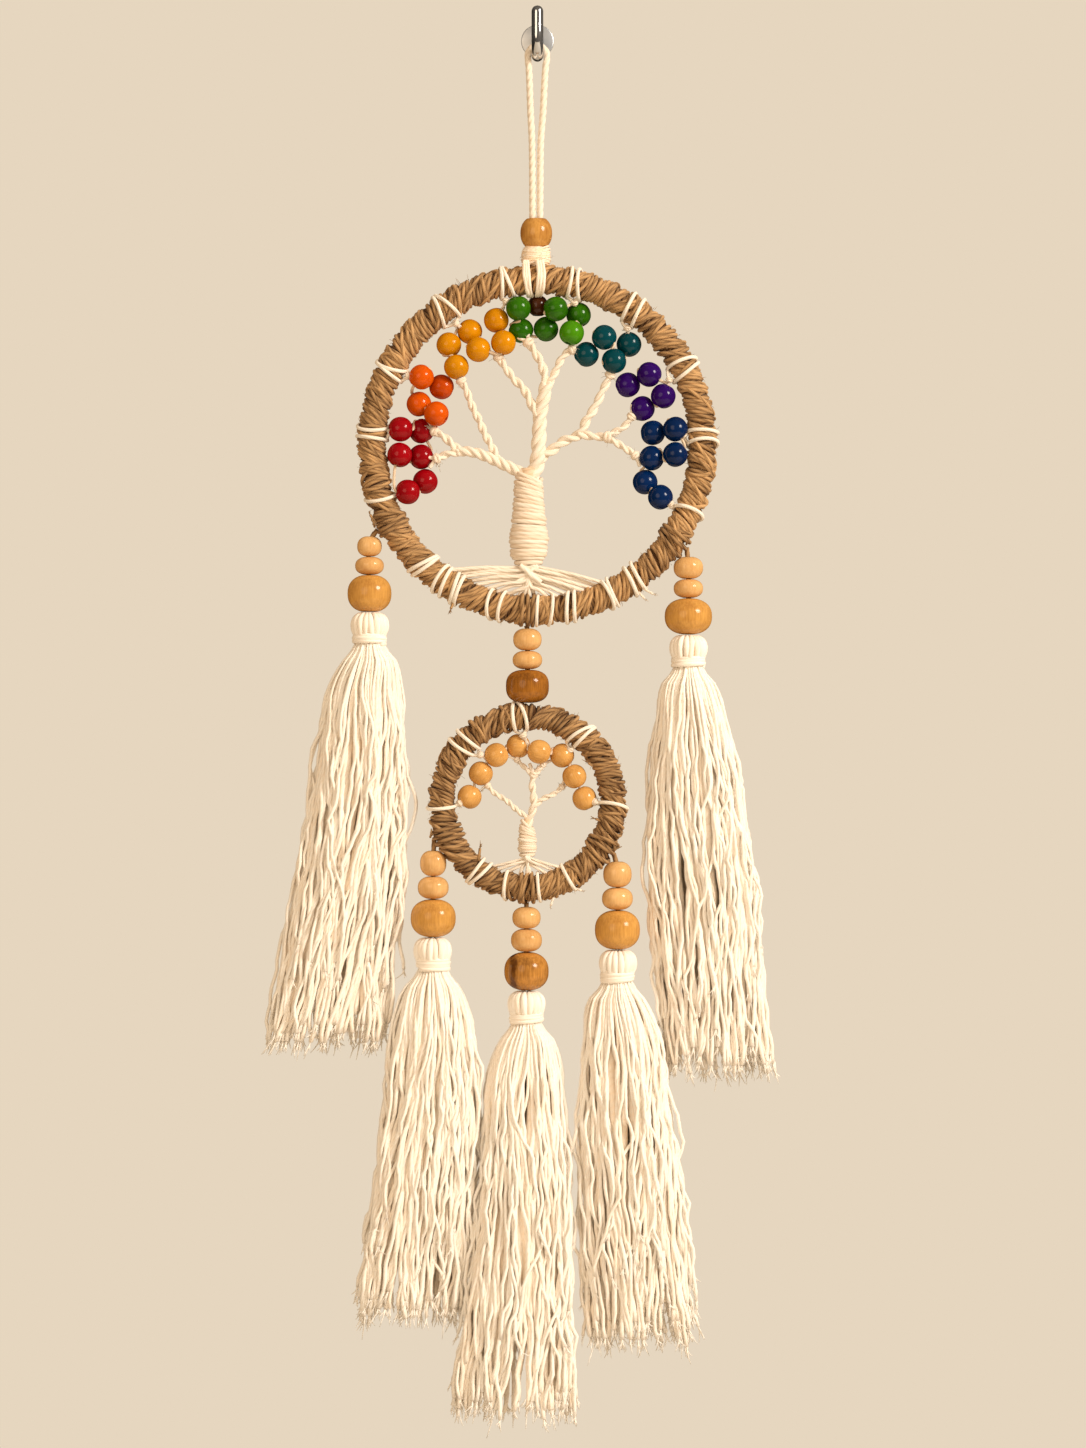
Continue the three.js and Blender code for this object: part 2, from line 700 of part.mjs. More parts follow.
/** One strand of a skirt. Its end is longer or shorter by its place in the tassel. */
function strand(x, neckZ, skirt, share, angle, ragged) {
  const last = skirt.length - 1;
  const girths = [STRAND.root, 0.8 * STRAND.body, STRAND.body, STRAND.tip];
  const stations = skirt.map(({ down, across, back, half, deep }, i) => {
    const inset = Math.max(half - girths[i], 0) * share;
    const depth = Math.max(deep - girths[i], 0) * share;
    const drop = i === 0 ? -STRAND.sunk : down + (i === last ? ragged : 0);
    return new THREE.Vector3(
      x + across + inset * Math.cos(angle),
      HANG_Y + back + depth * Math.sin(angle),
      neckZ - drop,
    );
  });
  return cord(new Route(stations), {
    radius: STRAND.body,
    sides: 3,
    steps: last,
    girth: (share) => girths[Math.round(share * last)] / STRAND.body,
  });
}

function tassel(x, top, skirt) {
  const neckZ = top - HEAD.height;
  const strands = STRAND_RINGS.flatMap(({ count, share, turn }, ring) => {
    return Array.from({ length: count }, (_, i) => {
      const angle = THREE.MathUtils.degToRad(turn) + (i / count) * 2 * Math.PI;
      const ragged = RAGGED * Math.sin(2.4 * i + 1.7 * ring + x);
      return strand(x, neckZ, skirt, share, angle, ragged);
    });
  });
  return joined([tasselHead(x, top), ...strands]);
}

/** Turns of cotton bound round a tassel's neck. */
function neckBinding(x, top) {
  const { neck, bandRadius, height, bandHeight, lip } = HEAD;
  const inner = neck + CLEARANCE;
  const low = lip - height;
  const third = bandHeight / 3;
  const profile = [[inner, low]];
  for (let i = 0; i < 3; i++) {
    profile.push([bandRadius, low + third * (i + 0.5)]);
    if (i < 2) profile.push([bandRadius - WRAP_RELIEF, low + third * (i + 1)]);
  }
  profile.push([inner, low + bandHeight - CLEARANCE], [inner, low]);
  return turned(profile, HEAD.sides).translate(x, HANG_Y, top);
}

// The whole part

const part = new THREE.Group();

function add(name, geometry, look) {
  const mesh = new THREE.Mesh(closed(geometry), look);
  mesh.name = name;
  part.add(mesh);
}

add('hook_rosette', rosette(), steel);
add('hook_bar', hookBar(), steel);
add('hanging_loop', hangingLoop(), cotton);
add('top_bead', boredBead(TOP_BEAD.diameter, TOP_BEAD.height, TOP_BEAD.bore, 12)
  .translate(TOP_BEAD.x, HANG_Y, TOP_BEAD.top - TOP_BEAD.height / 2), paleWood);
add('top_knot', topKnot(), cotton);

for (const [name, hoop] of [['hoop_large', LARGE_HOOP], ['hoop_small', SMALL_HOOP]]) {
  add(name, wrappedHoop(hoop).translate(hoop.x, HANG_Y, hoop.z), jute);
}
add('tree_large', tree(LARGE_TREE), cotton);
add('tree_small', tree(SMALL_TREE), cotton);

for (const [name, group] of Object.entries(BEAD_GROUPS)) {
  add(`beads_${name}`, strungBeads(LARGE_HOOP, COLOURED_BEAD, group), material(group.colour, 0.2));
}
add('beads_natural', strungBeads(SMALL_HOOP, NATURAL_BEAD, NATURAL_ARC), paleWood);

for (const [name, stack] of Object.entries(STACKS)) {
  const levels = stackLevels(stack);
  const bottom = stackBottom(stack);
  stack.beads.forEach((bead, i) => {
    const big = name === 'middle' ? walnut : honeyWood;
    add(`bead_${name}_${i + 1}`, stackBead(bead, levels[i], stack.x), i < 2 ? paleWood : big);
  });
  add(`cord_${name}`, hangerCord(stack, bottom), jute);
  if (!SKIRTS[name]) continue;
  const top = bottom - CLEARANCE;
  add(`tassel_${name}`, tassel(stack.x, top, SKIRTS[name]), cotton);
  add(`binding_${name}`, neckBinding(stack.x, top), cotton);
}

export default part;
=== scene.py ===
"""The looks of a dreamcatcher on a wall hook: twisted cotton and jute, lacquered wooden beads and
long tassels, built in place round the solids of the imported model.

Every size and place is in millimetres, in the model's own frame, and becomes metres in the mesh.
The wall is the plane y = 0, and the hoops and bead stacks hang in the plane y = HANG_Y.
"""

import math
from itertools import combinations

import bpy
import numpy as np
from mathutils import Matrix, Vector


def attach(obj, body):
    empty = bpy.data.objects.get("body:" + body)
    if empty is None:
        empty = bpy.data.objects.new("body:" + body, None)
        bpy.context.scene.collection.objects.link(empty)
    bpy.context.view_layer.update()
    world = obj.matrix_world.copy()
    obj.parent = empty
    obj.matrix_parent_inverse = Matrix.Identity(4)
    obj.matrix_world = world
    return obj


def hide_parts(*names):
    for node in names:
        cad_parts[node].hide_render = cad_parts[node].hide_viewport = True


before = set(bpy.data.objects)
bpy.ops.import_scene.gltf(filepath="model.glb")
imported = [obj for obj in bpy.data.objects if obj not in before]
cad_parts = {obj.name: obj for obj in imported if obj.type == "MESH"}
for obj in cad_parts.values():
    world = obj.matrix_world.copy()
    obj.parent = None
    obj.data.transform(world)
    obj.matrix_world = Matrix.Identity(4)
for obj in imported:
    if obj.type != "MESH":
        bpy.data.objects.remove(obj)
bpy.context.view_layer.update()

MM = 0.001
HANG_Y = -22.0
PHOTO_CENTRE = (2.4, -297.3)  # the point of the hanging plane in the middle of the photograph
PHOTO_DISTANCE = 1600.0  # from the camera to the hanging plane
PHOTO_HEIGHT = 622.6  # the height of the hanging plane that the photograph takes in

LARGE_HOOP = {"x": 0.0, "z": -177.3, "radius": 71.1, "section": 6.3}
SMALL_HOOP = {"x": -4.3, "z": -330.8, "radius": 36.9, "section": 5.9}

# Helpers: lines

SPLINE_STEPS = 12  # points of the spline between two that are given


def smooth_line(points, step):
    """A smooth line through the points, in even steps of about the given length."""
    points = np.asarray(points, float)
    points = np.vstack([2 * points[0] - points[1], points, 2 * points[-1] - points[-2]])
    fine = []
    for four in zip(points, points[1:], points[2:], points[3:]):
        gaps = [np.linalg.norm(b - a) ** 0.5 for a, b in zip(four, four[1:])]
        knots = np.cumsum([0.0, *gaps])
        t = np.linspace(knots[1], knots[2], SPLINE_STEPS, endpoint=False)[:, None]

        def between(a, b, i, j):
            return ((knots[j] - t) * a + (t - knots[i]) * b) / (knots[j] - knots[i])

        first, second, third = (between(four[i], four[i + 1], i, i + 1) for i in range(3))
        fine.append(between(between(first, second, 0, 2), between(second, third, 1, 3), 1, 2))
    fine = np.vstack([*fine, points[-2]])
    run = run_along(fine)
    even = np.linspace(0, run[-1], max(2, round(run[-1] / step) + 1))
    return np.column_stack([np.interp(even, run, column) for column in fine.T])


def run_along(line):
    """How far along the line each of its points lies."""
    return np.concatenate([[0.0], np.cumsum(np.linalg.norm(np.diff(line, axis=0), axis=1))])


def frame_along(line):
    """The unit tangent and two sides at each point, turning as little as they can."""
    tangent = np.gradient(line, axis=0)
    tangent /= np.linalg.norm(tangent, axis=1)[:, None]
    side = np.empty_like(line)
    across = np.array([0.0, 1.0, 0.0]) if abs(tangent[0][1]) < 0.8 else np.array([1.0, 0.0, 0.0])
    for i, along in enumerate(tangent):
        across = across - along * np.dot(across, along)
        across /= np.linalg.norm(across)
        side[i] = across
    return tangent, side, np.cross(tangent, side)


def wander(run, wavelength, amount, rng):
    """A smooth, irregular offset along a line."""
    waves = np.zeros_like(run)
    for share in (0.55, 1.0, 1.7):
        waves += np.sin(2 * np.pi * run / (wavelength * share) + rng.uniform(0, 2 * np.pi)) * share
    return amount * waves / 1.9


def at_hoop(hoop, degrees, reach, lift=0.0):
    """The point at an angle, so far from the hoop's centre and lifted towards the wall."""
    angle = np.radians(degrees)
    x = hoop["x"] + reach * np.cos(angle)
    z = hoop["z"] + reach * np.sin(angle)
    return np.stack(np.broadcast_arrays(x, HANG_Y + lift, z), axis=-1)


def in_hoop(hoop, points, lift=0.0):
    """Points across and up from the hoop's centre, in its plane."""
    return np.array([[hoop["x"] + across, HANG_Y + lift, hoop["z"] + up] for across, up in points])


def round_upright(x, reach, angle, level, flat=1.0):
    """Points about an upright line in the hanging plane, at angles from the viewer's right."""
    parts = np.broadcast_arrays(x + reach * np.cos(angle), HANG_Y + flat * reach * np.sin(angle), level)
    return np.stack(parts, axis=-1)


# Helpers: meshes and pieces

# How a ply lies in a twisted cord, by the number of plies: how far its middle is from the cord's, and
# its own radius, both as shares of the cord's radius
PLY_SHARES = {2: (0.46, 0.56), 3: (0.5, 0.54)}


class Strands:
    """Cords, yarns and fibres as closed tubes, gathered in one mesh. The UV map gives the turn
    about the strand and the length along it in millimetres, less where the lay is long, and
    "shade" how light it is: partly its own tone, and partly painted shade where it lies deep or within."""

    def __init__(self):
        self.points, self.corners, self.sizes, self.uvs, self.shades = [], [], [], [], []
        self.count = 0

    def add(self, line, radius, sides=6, shade=0.5, lobes=0, depth=0.0, pitch=8.0, lay=1.0):
        line = np.asarray(line, float)
        _, side, rise = frame_along(line)
        run = run_along(line)
        angle = np.arange(sides) / sides * 2 * np.pi
        reach = np.repeat(np.broadcast_to(radius, len(line))[:, None], sides, axis=1).astype(float)
        if lobes:
            turned = angle[None, :] - 2 * np.pi * run[:, None] / pitch
            # the plies' rounded backs, with narrow grooves between them
            reach *= 1 - depth * (1 - np.abs(np.sin(lobes / 2 * turned))) ** 1.6
        offset = np.cos(angle)[None, :, None] * side[:, None] + np.sin(angle)[None, :, None] * rise[:, None]
        rings = line[:, None] + reach[..., None] * offset
        self.points.append(rings.reshape(-1, 3))
        ring, j = np.meshgrid(np.arange(len(line) - 1), np.arange(sides), indexing="ij")
        after = (j + 1) % sides
        quads = np.stack([ring * sides + j, ring * sides + after,
                          (ring + 1) * sides + after, (ring + 1) * sides + j], axis=-1)
        turn = np.stack([j, j + 1, j + 1, j], axis=-1) / sides
        along = np.stack([run[ring], run[ring], run[ring + 1], run[ring + 1]], axis=-1)
        self.corners.append(quads.reshape(-1) + self.count)
        self.sizes.append(np.full(quads.shape[0] * sides, 4))
        self.uvs.append(np.stack([turn, along * lay], axis=-1).reshape(-1, 2))
        last = (len(line) - 1) * sides
        for cap, place in ((np.arange(sides)[::-1], run[0]), (np.arange(sides) + last, run[-1])):
            self.corners.append(cap + self.count)
            self.sizes.append(np.array([sides]))
            self.uvs.append(np.column_stack([np.arange(sides) / sides, np.full(sides, place * lay)]))
        self.shades.append(np.repeat(np.broadcast_to(shade, len(line)), sides))
        self.count += rings.shape[0] * sides

    def twist(self, line, radius, plies, pitch, rng, sides, shade):
        """A cord of real plies, wound about the line and flattened where they press together."""
        line = np.asarray(line, float)
        _, side, rise = frame_along(line)
        run = run_along(line)
        radius = np.broadcast_to(radius, len(line)).astype(float)
        away, thick = PLY_SHARES[plies]
        start = rng.uniform(0, 2 * np.pi)
        for k in range(plies):
            angle = start + 2 * np.pi * (k / plies + run / pitch)
            aside = np.cos(angle)[:, None] * side + np.sin(angle)[:, None] * rise
            middle = line + (away * radius)[:, None] * aside
            self.add(middle, thick * radius, sides=sides, shade=shade, lay=0.4)

    def build(self, name, material):
        corners = np.concatenate(self.corners)
        sizes = np.concatenate(self.sizes)
        mesh = bpy.data.meshes.new(name)
        mesh.vertices.add(self.count)
        mesh.vertices.foreach_set("co", (np.vstack(self.points) * MM).ravel())
        mesh.loops.add(len(corners))
        mesh.loops.foreach_set("vertex_index", corners)
        mesh.polygons.add(len(sizes))
        mesh.polygons.foreach_set("loop_start", np.concatenate([[0], np.cumsum(sizes)[:-1]]))
        mesh.update(calc_edges=True)
        mesh.uv_layers.new(name="Strand").data.foreach_set("uv", np.vstack(self.uvs).ravel())
        shade = mesh.attributes.new("shade", "FLOAT", "POINT")
        shade.data.foreach_set("value", np.concatenate(self.shades).astype(np.float32))
        mesh.shade_smooth()
        mesh.materials.append(material)
        piece = bpy.data.objects.new(name, mesh)
        bpy.context.scene.collection.objects.link(piece)
        return piece


def place_piece(piece, slot, *nodes):
    """The piece belongs to the one body and stands for the nodes, which are hidden. The slot is not used."""
    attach(piece, "root")
    if nodes:
        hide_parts(*nodes)
    return piece


def only(obj):
    """This object alone is selected and active."""
    bpy.ops.object.select_all(action="DESELECT")
    obj.select_set(True)
    bpy.context.view_layer.objects.active = obj


# Helpers: materials


def colour(value):
    """A hex colour as sRGB shows it, turned to the linear values that the shader takes."""
    channels = [int(value[i:i + 2], 16) / 255 for i in (1, 3, 5)]
    return [c / 12.92 if c <= 0.04045 else ((c + 0.055) / 1.055) ** 2.4 for c in channels] + [1.0]


def add_node(tree, kind, inputs=None, **settings):
    """A node with its settings, its inputs linked to other nodes' outputs or set to values. A node
    among the inputs stands for its first output."""
    node = tree.nodes.new(kind)
    for name, value in settings.items():
        setattr(node, name, value)
    for name, value in (inputs or {}).items():
        if isinstance(value, bpy.types.Node):
            value = value.outputs[0]
        if isinstance(value, bpy.types.NodeSocket):
            tree.links.new(value, node.inputs[name])
        else:
            node.inputs[name].default_value = value
    return node


def new_material(name, values):
    """A material with its tree and its shader, whose own sockets get the values that are the same
    all over."""
    material = bpy.data.materials.new(name)
    material.use_nodes = True
    shader = material.node_tree.nodes["Principled BSDF"]
    for socket, value in values.items():
        shader.inputs[socket].default_value = value
    return material, material.node_tree, shader


def twisted_fibre(name, light, dark, plies, pitch, ply_relief, fibre_relief, contrast):
    """Cotton or jute, spun and twisted. The plies wind about the strand once in each pitch, and
    fine fibres run with them. How light a strand is, is partly its own tone and partly painted
    shade, darker where it lies within."""
    material, tree, shader = new_material(name, {
        "Roughness": 0.92, "Specular IOR Level": 0.25, "Sheen Weight": 0.08, "Sheen Roughness": 0.5,
    })
    place = add_node(tree, "ShaderNodeUVMap", uv_map="Strand")
    parts = add_node(tree, "ShaderNodeSeparateXYZ", {0: place})
    lay = add_node(tree, "ShaderNodeMath", {0: parts.outputs["Y"], 1: 1 / pitch}, operation="MULTIPLY")
    wound = add_node(tree, "ShaderNodeMath", {0: parts.outputs["X"], 1: lay}, operation="SUBTRACT")
    phase = add_node(tree, "ShaderNodeMath", {0: wound, 1: math.pi * plies}, operation="MULTIPLY")
    wave = add_node(tree, "ShaderNodeMath", {0: phase}, operation="SINE")
    crest = add_node(tree, "ShaderNodeMath", {0: wave}, operation="ABSOLUTE")
    spun = add_node(tree, "ShaderNodeCombineXYZ", {"X": wound, "Y": lay})
    # 34 fibres round a strand, 0.15 to 0.2 mm wide, drawn as streaks a few millimetres long
    streaks = add_node(tree, "ShaderNodeMapping", {0: spun, "Scale": (34.0, 2.2, 1.0)})
    fibres = add_node(tree, "ShaderNodeTexNoise", {"Vector": streaks, "Scale": 1.0, "Detail": 3.0})
    where = add_node(tree, "ShaderNodeTexCoord")
    # patches 12 mm across where the cord is a little darker from handling
    patches = add_node(tree, "ShaderNodeTexNoise", {"Vector": where.outputs["Object"], "Scale": 80.0})
    shade = add_node(tree, "ShaderNodeAttribute", attribute_name="shade")
    total = shade.outputs["Fac"]
    # painted shade and light: the grooves between the plies are made darker and the crests a little lighter;
    # the fibres and the patches only vary the tone
    for source, least, most in ((crest, -0.26 * contrast, 0.06 * contrast),
                                (fibres, -0.16 * contrast, 0.16 * contrast), (patches, -0.1, 0.1)):
        part = add_node(tree, "ShaderNodeMapRange", {"Value": source, "To Min": least, "To Max": most})
        total = add_node(tree, "ShaderNodeMath", {0: total, 1: part}, operation="ADD")
    tint = add_node(tree, "ShaderNodeMix", {0: total, 6: colour(dark), 7: colour(light)}, data_type="RGBA")
    tree.links.new(tint.outputs[2], shader.inputs["Base Color"])
    relief = add_node(tree, "ShaderNodeBump", {"Height": crest, "Distance": ply_relief * MM})
    grain = add_node(tree, "ShaderNodeBump", {"Height": fibres, "Distance": fibre_relief * MM,
                                              "Normal": relief})
    tree.links.new(grain.outputs[0], shader.inputs["Normal"])
    return material


def lacquered_wood(name, base, deep, grain_contrast, coat, streak=None):
    """Turned hardwood, stained or clear, under a dipped lacquer: the grain runs with the hole,
    and the hole is painted dark, as painted shade. "bead_place" is the place in the bead, in
    millimetres, and a streak is a dark band of grain so far across it."""
    material, tree, shader = new_material(name, {
        "Roughness": 0.5, "Specular IOR Level": 0.0, "Coat Weight": coat, "Coat Roughness": 0.15,
        "Coat IOR": 1.5,
    })
    place = add_node(tree, "ShaderNodeAttribute", attribute_name="bead_place").outputs["Vector"]
    # growth lines 0.7 mm apart across the grain and 9 mm long with it
    lines = add_node(tree, "ShaderNodeMapping", {0: place, "Scale": (1.4, 1.4, 0.11)})
    grain = add_node(tree, "ShaderNodeTexNoise", {"Vector": lines, "Scale": 1.0, "Detail": 4.0,
                                                 "Roughness": 0.6})
    # clouds 6 mm across
    cloud = add_node(tree, "ShaderNodeTexNoise", {"Vector": place, "Scale": 0.16})
    uneven = add_node(tree, "ShaderNodeMath", {0: grain, 1: cloud}, operation="ADD")
    amount = add_node(tree, "ShaderNodeMapRange", {"Value": uneven, "From Min": 0.75, "From Max": 1.35,
                                                  "To Max": grain_contrast})
    tone = add_node(tree, "ShaderNodeAttribute", attribute_name="shade").outputs["Fac"]
    total = add_node(tree, "ShaderNodeMath", {0: amount, 1: tone}, operation="ADD", use_clamp=True)
    if streak:
        parts = add_node(tree, "ShaderNodeSeparateXYZ", {0: place})
        bent = add_node(tree, "ShaderNodeMath", {0: cloud, 1: 2.5, 2: parts.outputs["X"]},
                        operation="MULTIPLY_ADD")
        across = add_node(tree, "ShaderNodeMath", {0: bent, 1: streak}, operation="SUBTRACT")
        apart = add_node(tree, "ShaderNodeMath", {0: across}, operation="ABSOLUTE")
        soft = add_node(tree, "ShaderNodeMapRange", {"Value": apart, "From Min": 0.3, "From Max": 2.2,
                                                    "To Min": 0.75, "To Max": 0.0})
        total = add_node(tree, "ShaderNodeMath", {0: total, 1: soft}, operation="ADD", use_clamp=True)
    tint = add_node(tree, "ShaderNodeMix", {0: total, 6: colour(base), 7: colour(deep)}, data_type="RGBA")
    tree.links.new(tint.outputs[2], shader.inputs["Base Color"])
    ripple = add_node(tree, "ShaderNodeBump", {"Height": grain, "Distance": 0.008 * MM})
    tree.links.new(ripple.outputs[0], shader.inputs["Normal"])
    return material


def chromed_steel(name, tint, roughness):
    """Nickel-chrome plate on steel: a cool grey mirror on the bar, and satin on the rosette."""
    return new_material(name, {"Base Color": colour(tint), "Metallic": 1.0, "Roughness": roughness})[0]


# Hard-twisted cotton of 2 to 3 mm, as in the loop, the trees and the ties: creamy and matt
cotton_cord = twisted_fibre("twisted cotton cord", "#f7f0e4", "#dcb88e", 3, 7.0, 0.14, 0.04, 0.55)
# Softly spun cotton of about 2 mm, as in the tassels: fluffier, with a warm painted shade where it lies deep
cotton_yarn = twisted_fibre("spun cotton yarn", "#fffaf2", "#f6d2a2", 2, 6.0, 0.1, 0.05, 0.35)
# Coarse jute of about 2 mm: brown, hairy, uneven from strand to strand
jute_twine = twisted_fibre("jute twine", "#d9ad78", "#482a10", 2, 15.0, 0.22, 0.12, 1.3)
bright_chrome = chromed_steel("bright chrome plated steel", "#dadde2", 0.12)
satin_chrome = chromed_steel("satin chrome plated steel", "#e2e5e8", 0.4)

# The camera

bpy.ops.object.camera_add(
    location=(PHOTO_CENTRE[0] * MM, (HANG_Y - PHOTO_DISTANCE) * MM, PHOTO_CENTRE[1] * MM),
    rotation=(math.pi / 2, 0, 0),
)
camera = bpy.context.object
camera.data.sensor_width = 36.0
camera.data.lens = 36.0 * PHOTO_DISTANCE / PHOTO_HEIGHT
bpy.context.scene.camera = camera
bpy.context.scene.view_settings.view_transform = "Standard"

# The hanging loop: twisted cotton, over the hook, with both ends in the top bead

LOOP_RADIUS = 1.4
LOOP_CROWN = (0.0, -9.9, 4.1)  # x and z of the hook's bend, and the loop's radius round it
LOOP_RISE = [-91.0, -85.0, -79.4, -70.0, -58.0, -46.0, -34.0, -22.0, -15.0]
LOOP_SPREAD = [0.0, 0.0, 0.0, 0.02, 0.05, 0.14, 0.44, 0.64, 0.8]
LOOP_FEET = (-0.5, 1.6)  # middle of the two ends in the bead, and how far each lies from it


def loop_line():
    crown_x, crown_z, reach = LOOP_CROWN
    middle, apart = LOOP_FEET

    def leg(side):
        foot = middle + side * apart
        return [[foot + spread * (crown_x + side * reach - foot), HANG_Y, z]
                for z, spread in zip(LOOP_RISE, LOOP_SPREAD)]

    crown = [[crown_x + reach * math.cos(math.radians(a)), HANG_Y,
              crown_z + reach * math.sin(math.radians(a))] for a in range(180, -1, -30)]
    return smooth_line([*leg(-1), *crown, *leg(1)[::-1]], 0.7)


line = loop_line()
loop = Strands()
loop.add(line, LOOP_RADIUS * 1.05, sides=18, shade=0.78, lobes=3, depth=0.22, pitch=11.0, lay=0.64)
loop_piece = place_piece(loop.build("hanging_cord", cotton_cord), "cotton_cord", "hanging_loop")

# The wall hook

HOOK_RADIUS = 2.5
HOOK_BEND = (-22.0, -1.9, 8.0)  # y and z of the bend's middle, and its radius
HOOK_TIP = 7.6  # where the bar's straight end stops and its rounding starts


def hook_line():
    """Out of the wall, down into the bend and up again in front."""
    y, z, bend = HOOK_BEND
    points = [[0, -3.3, 0], [0, -8.0, 0], [0, -11.6, -0.6]]
    points += [[0, y + bend * math.cos(a), z - bend * math.sin(a)] for a in np.linspace(0.1, math.pi, 9)]
    points += [[0, y - bend, HOOK_TIP * share] for share in (0.4, 1.0)]
    return smooth_line(points, 0.8)


bar = hook_line()
dome = np.linspace(0.15, 0.995, 9)  # the rounded tip, as shares of the bar's radius
bar = np.vstack([bar, [[0, bar[-1][1], HOOK_TIP + HOOK_RADIUS * rise] for rise in dome]])
girth = np.ones(len(bar)) * HOOK_RADIUS
girth[-len(dome):] = HOOK_RADIUS * np.sqrt(1 - dome ** 2)
hook = Strands()
hook.add(bar, girth, sides=28)
place_piece(hook.build("hook_bent_bar", bright_chrome), "hook_steel", "hook_bar")

# the rosette: a dished disc against the wall, its rim rounded over
bpy.ops.object.select_all(action="DESELECT")
bpy.ops.mesh.primitive_cylinder_add(vertices=64, radius=8 * MM, depth=3 * MM,
                                    location=(0, -1.5 * MM, 0), rotation=(math.pi / 2, 0, 0))
rosette = bpy.context.object
rosette.name = "hook_dished_rosette"
bpy.ops.object.transform_apply(location=True, rotation=True, scale=True)
for face in rosette.data.polygons:
    face.select = face.normal.y < -0.9
bpy.ops.object.mode_set(mode="EDIT")
bpy.ops.mesh.inset(thickness=1.0 * MM)
bpy.ops.mesh.inset(thickness=0.5 * MM, depth=-0.7 * MM)
bpy.ops.mesh.inset(thickness=2.6 * MM, depth=-0.2 * MM)
bpy.ops.object.mode_set(mode="OBJECT")
rounding = rosette.modifiers.new("rounded rim", "BEVEL")
rounding.width = 0.35 * MM
rounding.segments = 3
rounding.limit_method = "ANGLE"
bpy.ops.object.modifier_apply(modifier=rounding.name)
bpy.ops.object.shade_smooth_by_angle(angle=math.radians(35))
rosette.data.materials.append(satin_chrome)
place_piece(rosette, "hook_steel", "hook_rosette")

# Wooden beads

BEAD_SEGMENTS = 32
BEAD_RIM = 0.35  # flat round the mouth of the hole
# the mouth is eased: how far out from the hole, and how far in from the bead's end
BEAD_MOUTH = [(0.0, 0.6), (0.08, 0.15)]


def turned_bead(width, height, bore, fullness):
    """One bead as it comes off the lathe, with its hole along Z and its middle at the origin."""
    profile = []
    for t in np.linspace(-math.pi / 2, math.pi / 2, 21)[1:-1]:
        reach = width / 2 * math.cos(t) ** (2 / fullness)
        rise = height / 2 * math.copysign(abs(math.sin(t)) ** (2 / fullness), t)
        if reach > bore + BEAD_RIM:
            profile.append((reach, rise))
    stretch = height / 2 / profile[-1][1]
    profile = [(reach, rise * stretch) for reach, rise in profile]
    mouth = [(bore + out, height / 2 - inward) for out, inward in BEAD_MOUTH]
    profile = [*((reach, -rise) for reach, rise in mouth), *profile, *mouth[::-1]]
    points = [(reach * MM, 0, rise * MM) for reach, rise in profile]
    edges = [(i, (i + 1) % len(points)) for i in range(len(points))]
    mesh = bpy.data.meshes.new("bead")
    mesh.from_pydata(points, edges, [])
    bead = bpy.data.objects.new("bead", mesh)
    bpy.context.scene.collection.objects.link(bead)
    only(bead)
    bpy.ops.object.mode_set(mode="EDIT")
    bpy.ops.mesh.select_all(action="SELECT")
    bpy.ops.mesh.spin(steps=BEAD_SEGMENTS, angle=2 * math.pi, center=(0, 0, 0), axis=(0, 0, 1))
    bpy.ops.mesh.select_all(action="SELECT")
    bpy.ops.mesh.remove_doubles(threshold=0.01 * MM)
    bpy.ops.mesh.normals_make_consistent(inside=False)
    bpy.ops.object.mode_set(mode="OBJECT")
    mesh.shade_smooth()
    return bead


def set_bead(master, centre, axis, turn, shade, grain):
    """A copy of the bead at its centre, its hole along the axis. It keeps where each point lies
    in the bead for the grain, and how deep its stain is, with painted shade in the hole."""
    bead = master.copy()
    bead.data = master.data.copy()
    bpy.context.scene.collection.objects.link(bead)
    mesh = bead.data
    local = np.array([v.co for v in mesh.vertices]) / MM
    place = mesh.attributes.new("bead_place", "FLOAT_VECTOR", "POINT")
    place.data.foreach_set("vector", (local + grain).astype(np.float32).ravel())
    reach = np.hypot(local[:, 0], local[:, 1])
    # the bore is painted dark, as painted shade in the hole
    hole = np.where(reach < reach.min() + 0.3, 0.75, 0.0)
    tone = mesh.attributes.new("shade", "FLOAT", "POINT")
    tone.data.foreach_set("value", (shade + hole).astype(np.float32))
    turned = Vector(axis).to_track_quat("Z", "Y").to_matrix().to_4x4() @ Matrix.Rotation(turn, 4, "Z")
    mesh.transform(Matrix.Translation(Vector(centre) * MM) @ turned)
    return bead


def join_beads(beads, name, material):
    """The beads as one piece with one finish."""
    only(beads[0])
    for bead in beads:
        bead.select_set(True)
    if len(beads) > 1:
        bpy.ops.object.join()
    piece = bpy.context.view_layer.objects.active
    piece.name = name
    piece.data.materials.clear()
    piece.data.materials.append(material)
    return piece


def place_bead(shape, centre, turn, deeper, grain, name, wood, slot, *nodes):
    """One upright bead as a piece of its own."""
    master = turned_bead(*shape)
    bead = set_bead(master, centre, (0, 0, 1), turn, deeper, grain)
    bpy.data.objects.remove(master)
    place_piece(join_beads([bead], name, wood), slot, *nodes)


def along_string(centres):
    """The direction of the string through each bead of a row, nearly in the row's own plane."""
    steps = np.diff(centres, axis=0) * [1.0, 0.25, 1.0]
    steps /= np.linalg.norm(steps, axis=1)[:, None]
    return np.array([steps[0], *(steps[1:] + 0.6 * steps[:-1]), steps[-1]])


# Stains of the coloured beads: their colour, and its depth in the grain
STAINS = {
    "red": ("#9c0410", "#560209"),
    "orange": ("#d95803", "#932602"),
    "yellow": ("#d68d04", "#9c5c03"),
    "green": ("#478a08", "#0d4204"),
    "teal": ("#00434d", "#00262d"),
    "purple": ("#2e0663", "#160236"),
    "blue": ("#03265a", "#010f26"),
}
